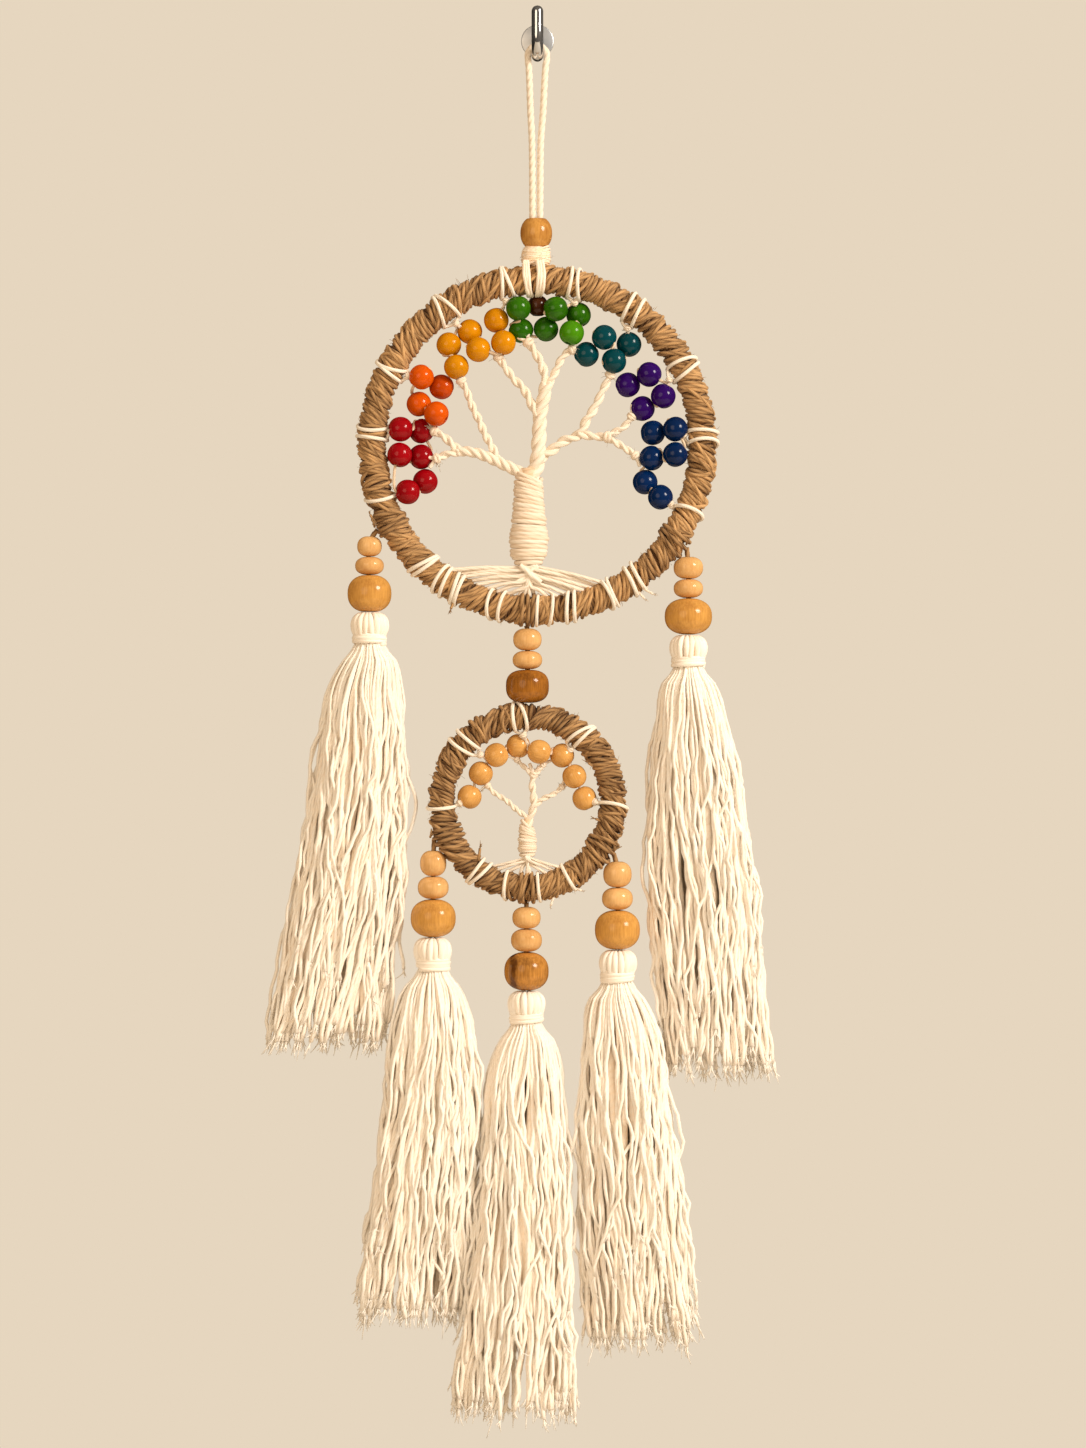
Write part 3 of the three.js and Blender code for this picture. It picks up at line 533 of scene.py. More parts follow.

# The rows of coloured beads, measured on the photograph: across and up from the large
# hoop's centre. Then follow a guess at how far behind the hoop's plane a bead lies, or before it
# where that is negative, and how much deeper than its fellows it is stained.
BEAD_ROWS = {
    "red": [(-58.7, 6.5, -3, 0), (-50.1, 6.2, 3, 0.1), (-50.1, -5, 3, 0.05), (-59.1, -4.5, -3, 0),
            (-55.7, -20.4, -3, 0.05), (-48.3, -15.4, 3, 0)],
    "orange": [(-41.3, 25.2, 3, 0.4), (-49.8, 28.9, -3, 0), (-51, 17.8, 3, 0), (-43.4, 13.1, -3, 0.05)],
    "yellow": [(-34.8, 33.4, -1.5, 0.1), (-38.1, 43.2, 1.5, 0.05), (-29.1, 49, 3, 0),
               (-25.4, 40.7, -3, 0.05), (-14.6, 43.8, -2, 0), (-17.7, 53.7, 1, 0.05)],
    "green": [(-8.2, 58.4, -3, 0.45), (-6.8, 49.5, 3, 0.5), (3.4, 50.1, 3, 0.6), (7.9, 58.1, -3, 0.5),
              (17.7, 56.2, 3, 0.5), (14.7, 47.9, -3, 0)],
    "teal": [(21.1, 39.1, 1.5, 0.1), (28.7, 46.1, -1.5, 0), (32.9, 35.9, -2, 0.05), (39.4, 43.4, 2, 0.15)],
    "purple": [(38.9, 26, 2, 0), (48, 30.1, -2, 0.05), (54, 20.8, -2, 0), (45.2, 15.8, 1.5, 0)],
    "blue": [(49.7, 5.4, 2.5, 0), (59.2, 6.6, -2.5, 0.2), (59.1, -4.3, -2.5, 0.2), (49.2, -5.6, 1, 0.1),
             (46.4, -15.8, 3, 0), (52.8, -22.6, -2.5, 0.1)],
}
NATURAL_ROW = [(-24.9, 2.2, 0, 0), (-20, 12.3, 0.5, 0.1), (-13.4, 20.1, -0.5, 0.05), (-4, 24, 2, 0.1),
               (5.1, 21.6, -2.5, 0), (14.9, 19.9, 0.5, 0.15), (20.2, 11, -0.5, 0.1), (24.5, 1.6, 0.5, 0.05)]
STAINED_BEAD = 10.65  # the diameter of a coloured bead
NATURAL_BEAD = 10.35  # and of one in the small hoop
BEAD_PLAY = 0.1  # that neighbours keep between them
# the rounds of parting, and the share of what is missing by which a bead gives way in a round
PARTING_ROUNDS, PARTING_SHARE = 60, 0.35

# Where cotton is tied round a hoop for the beads: the angle of each turn at the hoop's outer
# edge and at its inner edge, and the bead of the row that it holds, or the place between two
BEAD_TIES = {
    "red": [((174.0, 173.2), 0), ((177.2, 178.3), 0), ((-162.2, -160.8), 4)],
    "orange": [((152.4, 150.4), 1), ((152.8, 155.3), 1)],
    "yellow": [((124.6, 121.2), 2), ((125.5, 128.4), 2), ((101.9, 103.7), 5), ((101.3, 98.7), 5)],
    "green": [((79.0, 78.8), 4), ((76.3, 73.7), 4)],
    "teal": [((57.0, 55.9), 3), ((53.5, 51.3), 3)],
    "purple": [((28.6, 30.1), 2), ((27.0, 24.5), 2)],
    "blue": [((3.7, 4.9), 1), ((0.4, 0.0), 1), ((-24.0, -24.4), 5)],
}
NATURAL_TIES = [((-176.5, -177.0), 0), ((134.4, 132.0), 1.6), ((140.9, 139.0), 1.6), ((97.7, 99.0), 3.5),
                ((96.0, 91.0), 3.5), ((47.6, 49.5), 5.5), ((48.6, 56.5), 5.5), ((-4.1, -1.0), 7)]

TIE_RADIUS = 0.82
STRING_RADIUS = 0.7


def part_beads(rows, diameter):
    """The rows, in which neighbours that would press into each other are moved apart, twice as far
    in depth as across and up."""
    beads = np.array([bead for row in rows for bead in row], float)
    for _ in range(PARTING_ROUNDS):
        for one, other in combinations(beads[:, :3], 2):
            way = other - one
            gap = np.linalg.norm(way)
            if gap < diameter + BEAD_PLAY:
                push = way / gap * [0.5, 0.5, 1.0]
                push *= PARTING_SHARE * (diameter + BEAD_PLAY - gap) / np.dot(way / gap, push)
                one -= push
                other += push
    return np.split(beads, np.cumsum([len(row) for row in rows])[:-1])


def turn_round(hoop, outer, inner, proud, bow, count=26):
    """One turn of cord round a hoop, from its back over the outer edge to the front, leaning from
    one angle at the outer edge to another at the inner edge, and bowed aside between them."""
    phi = np.linspace(-math.pi / 2, 1.5 * math.pi, count)
    away = hoop["section"] + proud
    degrees = (outer + inner) / 2 + (outer - inner) / 2 * np.cos(phi)
    degrees += np.degrees(bow / hoop["radius"]) * np.sin(phi)
    return at_hoop(hoop, degrees, hoop["radius"] + away * np.cos(phi), -away * np.sin(phi))


def tie_beads(threads, hoop, centres, ties, rng):
    """The turns round the hoop, and the cord from where they meet to the bead that they hold."""
    for held in dict.fromkeys(place for _, place in ties):
        bead = np.array([np.interp(held, range(len(centres)), column) for column in centres.T])
        turns = [angles for angles, place in ties if place == held]
        starts = [at_hoop(hoop, inner, hoop["radius"] - hoop["section"] - 0.2, -1.0) for _, inner in turns]
        meet = np.mean(starts, axis=0)
        meet += 2.0 * (bead - meet) / np.linalg.norm(bead - meet) - [0, 1.5, 0]
        for (outer, inner), start in zip(turns, starts):
            turn = turn_round(hoop, outer, inner, 0.3, rng.normal(0, 1.0))
            threads.add(turn, TIE_RADIUS, sides=8, shade=0.95, lay=0.3)
            branch = smooth_line([start, (start + meet) / 2 + rng.normal(0, 0.4, 3), meet], 0.6)
            threads.add(branch, 0.9 * TIE_RADIUS, sides=8, shade=0.95, lay=0.3)
        middle = (meet + bead) / 2 + rng.normal(0, 0.3, 3)
        threads.twist(smooth_line([meet, middle, bead], 0.7), 0.85, 2, 5.0, rng, sides=6, shade=0.8)
        knot_at(threads, meet, bead - meet, 1.15, rng, 16)


def strung(hoop, row, ties, name, material, slot, node, diameter, seed):
    """A row of beads and the cotton that they are strung on and tied with."""
    rng = np.random.default_rng(seed)
    centres = np.array([[hoop["x"] + across, HANG_Y + lift, hoop["z"] + up] for across, up, lift, _ in row])
    axes = along_string(centres)
    axes /= np.linalg.norm(axes, axis=1)[:, None]
    master = turned_bead(diameter, 0.94 * diameter, 1.1, 2.1)
    beads = [set_bead(master, centre, axis, rng.uniform(0, 6), deeper, rng.uniform(-40, 40, 3))
             for centre, axis, (_, _, _, deeper) in zip(centres, axes, row)]
    bpy.data.objects.remove(master)
    place_piece(join_beads(beads, f"{name}_beads", material), slot, node)

    threads = Strands()
    for a, b, out, back in zip(centres, centres[1:], axes, axes[1:]):
        route = [a, a + 0.47 * diameter * out, b - 0.47 * diameter * back, b]
        threads.add(smooth_line(route, 0.8), STRING_RADIUS, shade=0.4)
    tie_beads(threads, hoop, centres, ties, rng)
    place_piece(threads.build(f"{name}_threads", cotton_cord), "cotton_cord")


def knot_at(strands, centre, axis, size, rng, fibres=8):
    """A small overhand knot: two crossed turns, with loose fibres."""
    axis = np.asarray(axis, float) / np.linalg.norm(axis)
    side = np.cross(axis, [0.0, 1.0, 0.0])
    side /= np.linalg.norm(side)
    rise = np.cross(axis, side)
    for lean in (-0.5, 0.5):
        phi = np.linspace(0, 2 * math.pi, 13)
        ring = (np.cos(phi)[:, None] * side + np.sin(phi)[:, None] * (rise + lean * axis)) * 0.9 * size
        strands.add(centre + ring, 0.62 * size, sides=6, shade=0.7)
    for _ in range(fibres):
        away = rng.normal(0, 1, 3)
        away /= np.linalg.norm(away)
        strands.add([centre, centre + away * 1.6 * size, centre + away * 2.4 * size + rng.normal(0, 0.3, 3)],
                    [0.16, 0.1, 0.05], sides=3, shade=0.8)


parted = part_beads(BEAD_ROWS.values(), STAINED_BEAD)
for seed, (name, row) in enumerate(zip(BEAD_ROWS, parted)):
    stain = lacquered_wood(f"{name} lacquered wood", *STAINS[name], 0.4, 0.5)
    strung(LARGE_HOOP, row, BEAD_TIES[name], name, stain, f"bead_{name}", f"beads_{name}", STAINED_BEAD,
           20 + seed)

# Clear-lacquered beads: pale maple in the stacks, honey-coloured in the small hoop and below
pale_wood = lacquered_wood("pale lacquered maple", "#e9bb7e", "#b98244", 0.6, 0.6)
honey_wood = lacquered_wood("honey lacquered birch", "#dca556", "#a0692d", 0.7, 0.6)
golden_wood = lacquered_wood("golden lacquered birch", "#e3ad64", "#b47c38", 0.7, 0.6)
brown_wood = lacquered_wood("brown lacquered walnut", "#ae7028", "#64390f", 0.85, 0.6)
streaked_wood = lacquered_wood("streaked lacquered birch", "#cf9145", "#5f3814", 0.75, 0.6, streak=6.9)

parted, = part_beads([NATURAL_ROW], NATURAL_BEAD)
strung(SMALL_HOOP, parted, NATURAL_TIES, "natural", golden_wood, "bead_honey_wood", "beads_natural",
       NATURAL_BEAD, 40)

# Bead stacks: where each hangs, and its beads from the top down as width and height
STACKS = {
    "left": {"hoop": LARGE_HOOP, "angle": -152.0, "x": -72.2, "top": -216.7,
             "beads": [(10.6, 8.5), (12.4, 7.6), (18.9, 15.6)]},
    "middle": {"hoop": LARGE_HOOP, "angle": -93.5, "x": -4.3, "top": -256.3,
               "beads": [(12.3, 9.3), (12.8, 7.8), (18.5, 14.2)]},
    "right": {"hoop": LARGE_HOOP, "angle": -34.5, "x": 64.9, "top": -225.5,
              "beads": [(12.7, 9.3), (12.7, 7.9), (20.4, 15.5)]},
    "lower_left": {"hoop": SMALL_HOOP, "angle": -158.0, "x": -44.8, "top": -351.8,
                   "beads": [(11.3, 10.8), (13.3, 9.5), (19.4, 16.2)]},
    "lower_middle": {"hoop": SMALL_HOOP, "angle": -90.6, "x": -4.7, "top": -376.0,
                     "beads": [(12.2, 9.2), (13.4, 9.6), (19.1, 16.4)]},
    "lower_right": {"hoop": SMALL_HOOP, "angle": -31.0, "x": 34.4, "top": -356.5,
                    "beads": [(12.3, 10.9), (13.3, 9.4), (19.4, 16.8)]},
}
BEAD_GAP = 0.3
STACK_BORE = 1.6
JUTE_RADIUS = 1.15
HANGER_PITCH = 2.5  # between a hanger's turns round its hoop

# The woods of the large beads, and their slots, where they aren't honey-coloured
LARGE_WOODS = {"middle": brown_wood, "lower_middle": streaked_wood}
LARGE_SLOTS = {"middle": "bead_dark_wood"}


def stack_bottom(stack):
    return stack["top"] - sum(height for _, height in stack["beads"]) - BEAD_GAP * (len(stack["beads"]) - 1)


def place_stack(name, stack, rng):
    """The three beads of a stack, each a piece of its own. The large one, at the bottom, shows its
    grain from the front."""
    level = stack["top"]
    for i, (width, height) in enumerate(stack["beads"]):
        large = i == 2
        shape = (width, height, STACK_BORE, 2.7 if large and name == "middle" else 2.35)
        wood = LARGE_WOODS.get(name, honey_wood) if large else pale_wood
        slot = LARGE_SLOTS.get(name, "bead_honey_wood") if large else "bead_light_wood"
        place_bead(shape, (stack["x"], HANG_Y, level - height / 2), 0.0 if large else rng.uniform(0, 6),
                   rng.uniform(0, 0.12), (0, 0, 0) if large else rng.uniform(-40, 40, 3),
                   f"{name}_stack_bead_{i + 1}", wood, slot, f"bead_{name}_{i + 1}")
        level -= height + BEAD_GAP


def tie_hanger(name, stack, rng):
    """The jute cord of a stack: three turns round the hoop, a cut end, and down through the beads."""
    hoop, angle = stack["hoop"], stack["angle"]
    jute = Strands()
    spread = math.degrees(HANGER_PITCH / hoop["radius"])
    for k in (-1, 0, 1):
        lean = rng.uniform(-1.5, 1.5)
        turn = turn_round(hoop, angle + k * spread + lean, angle + k * spread - lean, 0.4, lean)
        jute.add(turn, 0.95, sides=8, shade=rng.uniform(0.35, 0.6), lobes=2, depth=0.2, pitch=5.0)
    start = at_hoop(hoop, angle, hoop["radius"] + hoop["section"] + 0.4)
    bend = np.array([(start[0] + stack["x"]) / 2, HANG_Y, min(stack["top"], start[2]) + 0.8])
    end = np.array([stack["x"], HANG_Y, stack_bottom(stack)])
    drop = smooth_line([start, bend, [stack["x"], HANG_Y, stack["top"] - 3], end], 1.0)
    jute.add(drop, JUTE_RADIUS, sides=10, shade=0.5, lobes=2, depth=0.25, pitch=5.5)
    tail = start + np.array([rng.uniform(-2, 2), -hoop["section"] * 0.5, 1.0])
    frayed_end(jute, tail, np.array([rng.uniform(-0.6, 0.6), -0.6, 0.9]), 3.5, 0.5, rng)
    place_piece(jute.build(f"{name}_hanger", jute_twine), "jute_twine", f"cord_{name}")


# A fibre of a cut end: how far on and how far aside it is, and its share of the first thickness
FRAY = [(0, 0, 1), (0.4, 0.175, 0.75), (0.75, 0.6, 0.55), (1, 1, 0.3)]


def frayed_end(strands, tip, heading, length, thickness, rng, fibres=6, shade=0.6):
    """The fibres that stand out of a cut end."""
    heading = np.asarray(heading, float) / np.linalg.norm(heading)
    for _ in range(fibres):
        aside = rng.normal(0, 0.28, 3)
        reach = length * rng.uniform(0.5, 1.1)
        line = [tip + reach * (on * heading + off * aside) for on, off, _ in FRAY]
        strands.add(line, [thickness * girth for _, _, girth in FRAY], sides=4, shade=shade)


for seed, (name, stack) in enumerate(STACKS.items()):
    rng = np.random.default_rng(60 + seed)
    place_stack(name, stack, rng)
    tie_hanger(name, stack, rng)

# The bead over the big hoop, wide enough in the bore for both ends of the loop
place_bead((13.7, 12.2, 3.2, 2.2), (-0.5, HANG_Y, -86.3), 0.4, 0.3, (7, 3, 5), "loop_bead", honey_wood,
           "bead_light_wood", "top_bead")

# The hoops, wrapped in jute

TWINE_RADIUS = 0.92
TWINE_STEPS = 18  # points of one turn
# the first winding: its radius, the distance between its turns, and the points of one turn
UNDER_RADIUS, UNDER_PITCH, UNDER_STEPS = 0.95, 1.7, 12


def bundles(around, rng):
    """Turns wound in bundles of two to four, up to the given length: where each turn lies along
    the hoop, how it leans and bows, and how proud of the hoop it is."""
    rows = []
    at = 0.0
    while at < around:
        count = rng.choice([2, 3, 3, 4])
        lean, bow = rng.normal(1.8, 1.0), rng.normal(0, 1.0)
        for i in range(count):
            # the middle of a bundle stands prouder than its sides
            proud = 0.2 - 0.55 * abs(2 * i / (count - 1) - 1)
            rows.append((at, lean + rng.normal(0, 0.3), bow + rng.normal(0, 0.2),
                         proud + rng.normal(0, 0.12)))
            at += 1.7 * TWINE_RADIUS * rng.uniform(0.92, 1.08)
        at += rng.uniform(0.3, 0.9)
    rows = np.array([*rows, (at, *rows[0][1:])])
    rows[:, 0] *= around / at
    return rows.T


def wrap_hoop(hoop, strays, hairs, tone, tails, name, node, seed):
    """Jute twine wound round a ring in uneven bundles, with some turns laid across the others,
    its cut ends, and loose fibres all round. The tone is how light the jute is, and a tail gives its
    place, its heading and its length."""
    rng = np.random.default_rng(seed)
    radius, section = hoop["radius"], hoop["section"]
    length = 2 * np.pi * radius
    jute = Strands()
    # a core ring within the windings, painted at the jute's darkest as painted shade in the pits between the
    # turns
    jute.add(at_hoop(hoop, np.linspace(0, 360, 73), radius), section - 2.6, sides=10, shade=-0.4)
    # the first winding, plain and close, shows between the bundles of the second, painted darker than they
    # are as painted shade where it lies under them
    turns = round(length / UNDER_PITCH)
    phi = np.linspace(0, 2 * np.pi * turns, turns * UNDER_STEPS + 1)
    degrees = np.degrees(phi / turns) + 1.2 * np.cos(phi)
    away = section - 2.0
    under = at_hoop(hoop, degrees, radius + away * np.cos(phi), -away * np.sin(phi))
    jute.add(under, UNDER_RADIUS, sides=5, shade=0.25 + wander(phi, 11, 0.12, rng))

    places, *bends = bundles(length, rng)
    turns = len(places) - 1
    turn = np.arange(turns * TWINE_STEPS + 1) / TWINE_STEPS
    whole = np.arange(turns + 1)
    around = np.interp(turn, whole, places)
    lean, bow, proud = (np.interp(turn, whole, bend) for bend in bends)
    phi = 2 * np.pi * turn
    along = around - lean * np.cos(phi) + bow * np.sin(phi) + wander(around, 13, 0.25, rng)
    degrees = np.degrees(along / radius)
    away = section - TWINE_RADIUS + proud + wander(turn, 1.9, 0.1, rng)
    light = tone + 0.24 * np.interp(turn, whole, rng.uniform(-1, 1, turns + 1))
    jute.add(at_hoop(hoop, degrees, radius + away * np.cos(phi), -away * np.sin(phi)), TWINE_RADIUS, sides=8,
             shade=light, lobes=2, depth=0.07, pitch=9.0)

    for _ in range(strays):
        middle = rng.uniform(0, 360)
        tilt = np.degrees(rng.uniform(-7.5, 2.5) / radius)
        proud, bow = rng.uniform(-0.6, -0.2), rng.normal(0, 2.0)
        stray = turn_round(hoop, middle + tilt, middle - tilt, proud, bow, 22)
        jute.add(stray, 0.85, sides=7, shade=tone + rng.uniform(-0.15, 0.25))
    for place, reach, across, up, long in tails:
        start = at_hoop(hoop, place, radius + reach * section, -0.6 * section)
        heading = np.array([across, -0.25, up])
        end = start + long * heading
        jute.add(smooth_line([start - 1.5 * heading, start, end], 0.7), 0.6, sides=7, shade=0.6)
        frayed_end(jute, end, heading, 2.0, 0.25, rng, 7)
    for _ in range(hairs):
        phi = rng.uniform(0, 2 * np.pi)
        place = rng.uniform(0, 360)
        root = at_hoop(hoop, place, radius + section * np.cos(phi), -section * np.sin(phi))
        out = (root - at_hoop(hoop, place, radius)) / section
        sweep = rng.normal(0, 0.8, 3)
        reach = rng.uniform(0.5, 1.5)
        hair = [root - 0.5 * out, root + 0.3 * reach * (out + sweep),
                root + reach * (0.6 * out + 0.9 * sweep)]
        jute.add(hair, [0.1, 0.08, 0.05], sides=3, shade=rng.uniform(0.9, 1.3))
    place_piece(jute.build(name, jute_twine), "jute_twine", node)


wrap_hoop(LARGE_HOOP, 80, 420, 0.6, [(-155.0, 1.0, -0.5, 0.8, 3.0), (-118.0, 1.0, -0.3, -0.9, 2.5)],
          "large_jute_hoop", "hoop_large", 80)
wrap_hoop(SMALL_HOOP, 44, 240, 0.46,
          [(-131.0, -0.9, 0.1, 1.0, 4.0), (-14.0, -0.9, -0.9, 0.3, 1.5), (31.0, -0.9, -0.8, 0.5, 1.2)],
          "small_jute_hoop", "hoop_small", 81)

# The trees, with places across and up from the hoop's centre and angles on the hoop. A trunk's rows
# say how high and half how wide it is. A limb has the radius of its two ends and its route. Roots
# go left (-1), right (1) and down (0) to the hoop. A tie crosses the outer and the inner edge at its
# two angles. A tail gives its place, its heading and its length.

LARGE_TREE = {
    "hoop": LARGE_HOOP,
    "trunk": {"x": -3.7, "flat": 0.8, "turns": 22, "rows": [
        (-52.2, 5.6), (-47.5, 7.7), (-41.0, 8.6), (-34.0, 7.5), (-24.0, 6.6), (-12.0, 6.0)]},
    "limbs": [
        (3.5, 2.9, [(-2.6, -16), (-0.6, -9), (0.4, -2), (0.9, 6), (2.4, 21), (4.3, 26)]),
        (2.7, 2.2, [(-3, -15), (-8.1, -11.6), (-17, -7.2), (-24.7, -3.9), (-34.6, -2.8)]),
        (2.1, 1.7, [(-33.6, -2.9), (-39, 2.6), (-44.6, 6.4)]),
        (1.9, 1.7, [(-33.6, -2.9), (-38.5, -3.8), (-43.6, -6)]),
        (1.9, 1.7, [(-16, -7.8), (-22.6, 4.8), (-27.9, 16.9), (-33, 28.2)]),
        (2.1, 1.8, [(0.4, 13), (-5.9, 23.5), (-12.5, 31.5), (-16.8, 38.2)]),
        (2.2, 1.9, [(4.2, 25), (2.8, 32.2), (-1.1, 40), (-4.3, 44.8)]),
        (1.9, 1.7, [(4.1, 25), (8.3, 33), (12.9, 39.6), (15.4, 41.2)]),
        (2.5, 1.8, [(0.4, -7), (10.5, 1.2), (18.2, 4.8), (23, 13.7), (31.8, 30.4)]),
        (2.1, 1.9, [(17, 4.4), (24, 3.6), (30.8, 3.4)]),
        (1.7, 1.6, [(29.4, 3.2), (34, 6), (37.5, 8.4), (40.7, 12.6)]),
        (1.8, 1.6, [(29.4, 3.2), (36.5, -0.8), (42.2, -4.6)]),
    ],
    "ties": [(-135.6, -132.1), (-133.8, -131.4), (-125.5, -126.4), (-122.8, -124.6), (-119.0, -121.4),
             (-117.5, -118.9), (-105.2, -106.5), (-102.2, -101.9), (-90.2, -89.7), (-86.4, -84.3),
             (-80.4, -78.1), (-77.9, -75.8), (-65.1, -65.4), (-63.2, -62.7), (-56.6, -55.0), (-53.0, -51.6)],
    "root_from": (-3.7, -52.4),
    "root_spread": 5.4,
    "root_radius": 0.82,
    "roots": {-1: [-125.0, -122.5, -120.0, -117.0, -113.5, -109.5, -105.5, -101.5],
              1: [-64.5, -67.0, -69.5, -72.5, -75.5, -79.0, -82.5, -86.0],
              0: [-97.0, -95.0, -93.0, -91.0]},
    "root_drop": 8.0,
    "root_arch": 0.5,
    "tails": [(-53.5, 0.9, -0.5, 4.0), (-55.5, 0.7, -0.8, 3.0)],
}
SMALL_TREE = {
    "hoop": SMALL_HOOP,
    "trunk": {"x": 0.0, "flat": 0.85, "turns": 11, "rows": [
        (-23.8, 3.2), (-20.0, 4.0), (-13.0, 3.7), (-8.5, 2.6)]},
    "limbs": [
        (2.0, 1.5, [(0.2, -13.5), (0.8, -9), (2.0, -4), (2.6, 1), (2.0, 7), (2.7, 12)]),
        (1.4, 1.15, [(0.6, -7.5), (-4.4, -3.6), (-9, 0.6), (-14.4, 4.2), (-17.6, 7.4)]),
        (1.3, 1.1, [(2.6, 11.2), (-0.6, 14.4), (-4.5, 18.6)]),
        (1.3, 1.1, [(2.6, 11.2), (4.8, 13.6), (7.0, 16.3)]),
        (1.4, 1.15, [(2.3, -3), (7, 1.4), (11.5, 4.0), (15.4, 7.0)]),
    ],
    "ties": [(-127.5, -127.4), (-125.6, -120.3), (-102.6, -105.7), (-82.4, -81.8), (-61.2, -61.7)],
    "root_from": (0.0, -23.7),
    "root_spread": 1.3,
    "root_radius": 0.68,
    "roots": {-1: [-119.0, -114.0, -107.0], 1: [-62.5, -68.0, -75.0], 0: [-96.0, -91.0, -87.0]},
    "root_drop": 1.6,
    "root_arch": 0.0,
    "tails": [(-75.0, -0.3, -0.9, 3.5), (-60.5, 0.9, -0.3, 2.5)],
}


def bind_trunk(cords, hoop, x, flat, turns, rows, rng):
    """Turns of cord bound round a bundle, side by side, as wide as the rows say."""
    x += hoop["x"]
    heights, widths = np.array(rows).T
    low, high = heights[0], heights[-1]
    cord = 0.5 * (high - low) / turns + 0.16
    turn = np.linspace(0, turns, turns * 20 + 1)
    up = np.interp(turn, [0, turns], [low + cord, high - cord])
    half = np.interp(up, heights, widths) - cord + 0.15 + wander(turn, 2.3, 0.16, rng)
    phi = 2 * np.pi * turn
    # the upper turns lean down to the right, as they were drawn tight round the branches
    lean = np.interp(turn / turns, [0, 0.55, 1], [-0.5, 0.3, 2.0])
    level = hoop["z"] + up - lean * np.cos(phi) + wander(turn, 3.1, 0.25, rng)
    thick = cord * (1 + wander(turn, 1.7, 0.1, rng))
    cords.add(round_upright(x, half, phi, level, -flat), thick, sides=10,
              shade=0.66 + wander(turn, 1.3, 0.12, rng), lay=0.35)
    # a core within the turns, painted darker as painted shade where it shows between them
    core = np.linspace(low + 0.6, high + 2.0, 12)
    thick = np.interp(core, heights, widths) * flat - cord
    cords.add(round_upright(x, 0.0, 0.0, hoop["z"] + core), thick, sides=12, shade=0.3)


def spread_roots(cords, tree, rng):
    """The cords that leave the foot of the trunk for the hoop, and two thicker ones that cross in
    front of them."""
    hoop = tree["hoop"]
    across, up = tree["root_from"]
    width, drop, radius = tree["root_spread"], tree["root_drop"], tree["root_radius"]
    for side, ends in tree["roots"].items():
        for i, degrees in enumerate(ends):
            end = at_hoop(hoop, degrees, hoop["radius"] - hoop["section"] + 1.0, rng.uniform(-2.5, 0.5))
            # each cord comes from the far side of the foot, crosses the others and sweeps out
            share = i / max(1, len(ends) - 1)
            lower = drop * share if side else 0.35 * drop
            crossing = [(across - side * 0.6 * width * (1 - share), up + 1.0 - 0.6 * lower),
                        (across + side * width * (0.85 - 0.75 * share), up - 0.4 - lower)]
            start, foot = in_hoop(hoop, crossing, -1.5 - 1.8 * (i % 2))
            arch = [0, -0.8, tree["root_arch"] * abs(side)]
            middle = foot + 0.5 * (end - foot) + arch + rng.normal(0, 0.2, 3)
            thick = radius * rng.uniform(0.9, 1.12)
            cords.add(smooth_line([start, foot, middle, end], 1.0), thick, sides=8, shade=0.82, lay=0.5)
    for side in (-1, 1):
        route = [(across + side * out * width, up + rise)
                 for out, rise in ((-0.7, 0.6), (-0.25, -0.2 * drop), (0.3, -0.55 * drop), (1, -0.85 * drop))]
        line = smooth_line(in_hoop(hoop, route, -3.4 - 0.8 * side), 0.8)
        cords.add(line, 1.35 * radius, sides=10, shade=0.88, lobes=2, depth=0.12, pitch=9.0, lay=0.5)


def grow_tree(tree, name, node, seed):
    """Trunk, limbs of twisted cord with split ends, roots, and the ties round the hoop."""
    rng = np.random.default_rng(seed)
    hoop = tree["hoop"]
    cords = Strands()
    bind_trunk(cords, hoop, rng=rng, **tree["trunk"])
    for first, last, route in tree["limbs"]:
        line = smooth_line(in_hoop(hoop, route), 0.8)
        run = run_along(line)
        line += np.column_stack([wander(run, 14, 0.25, rng) for _ in range(3)])
        radius = np.interp(run, [0, run[-1]], [first, last])
        plies = 3 if first > 2.6 else 2
        cords.twist(line, radius, plies, 5.8 * (first + last) / 2, rng, sides=9, shade=0.78)
        if last < 2.0:
            split_end(cords, line, last, rng)
    spread_roots(cords, tree, rng)
    for outer, inner in tree["ties"]:
        turn = turn_round(hoop, outer, inner, 0.3, rng.normal(0, 0.9))
        cords.add(turn, TIE_RADIUS * rng.uniform(0.9, 1.1), sides=8, shade=0.95, lay=0.3)
    for place, side, rise, length in tree["tails"]:
        start = at_hoop(hoop, place, hoop["radius"] + hoop["section"], -2.5)
        heading = np.array([side, -0.2, rise])
        end = start + length * heading
        cords.add(smooth_line([start - heading, start, end], 0.8), 0.55, sides=6, shade=0.8)
        frayed_end(cords, end, heading, 1.6, 0.2, rng)
    place_piece(cords.build(name, cotton_cord), "cotton_cord", node)


def split_end(cords, line, radius, rng):
    """A limb's end: its plies part, are knotted, and go on to the beads on either side."""
    tip = line[-1]
    heading = (line[-1] - line[-4]) / np.linalg.norm(line[-1] - line[-4])
    aside = np.cross(heading, [0.0, 1.0, 0.0])
    knot_at(cords, tip - 0.5 * heading, heading, 0.95 * radius, rng)
    for side in (-1, 1):
        end = tip + heading * 4.0 + aside * side * 2.6
        cords.add(smooth_line([tip - heading * 1.5, tip + heading * 1.2 + aside * side * 0.9, end], 0.8),
                  0.52 * radius, sides=8, shade=0.85, lobes=2, depth=0.15, pitch=5.0)
    frayed_end(cords, tip, heading + rng.normal(0, 0.6, 3), 3.4, 0.26, rng, fibres=22, shade=1.0)


grow_tree(LARGE_TREE, "large_macrame_tree", "tree_large", 90)
grow_tree(SMALL_TREE, "small_macrame_tree", "tree_small", 91)

# The knot over the big hoop, and its two legs, wound round the hoop

KNOT_X, KNOT_TOP = -0.6, -91.3
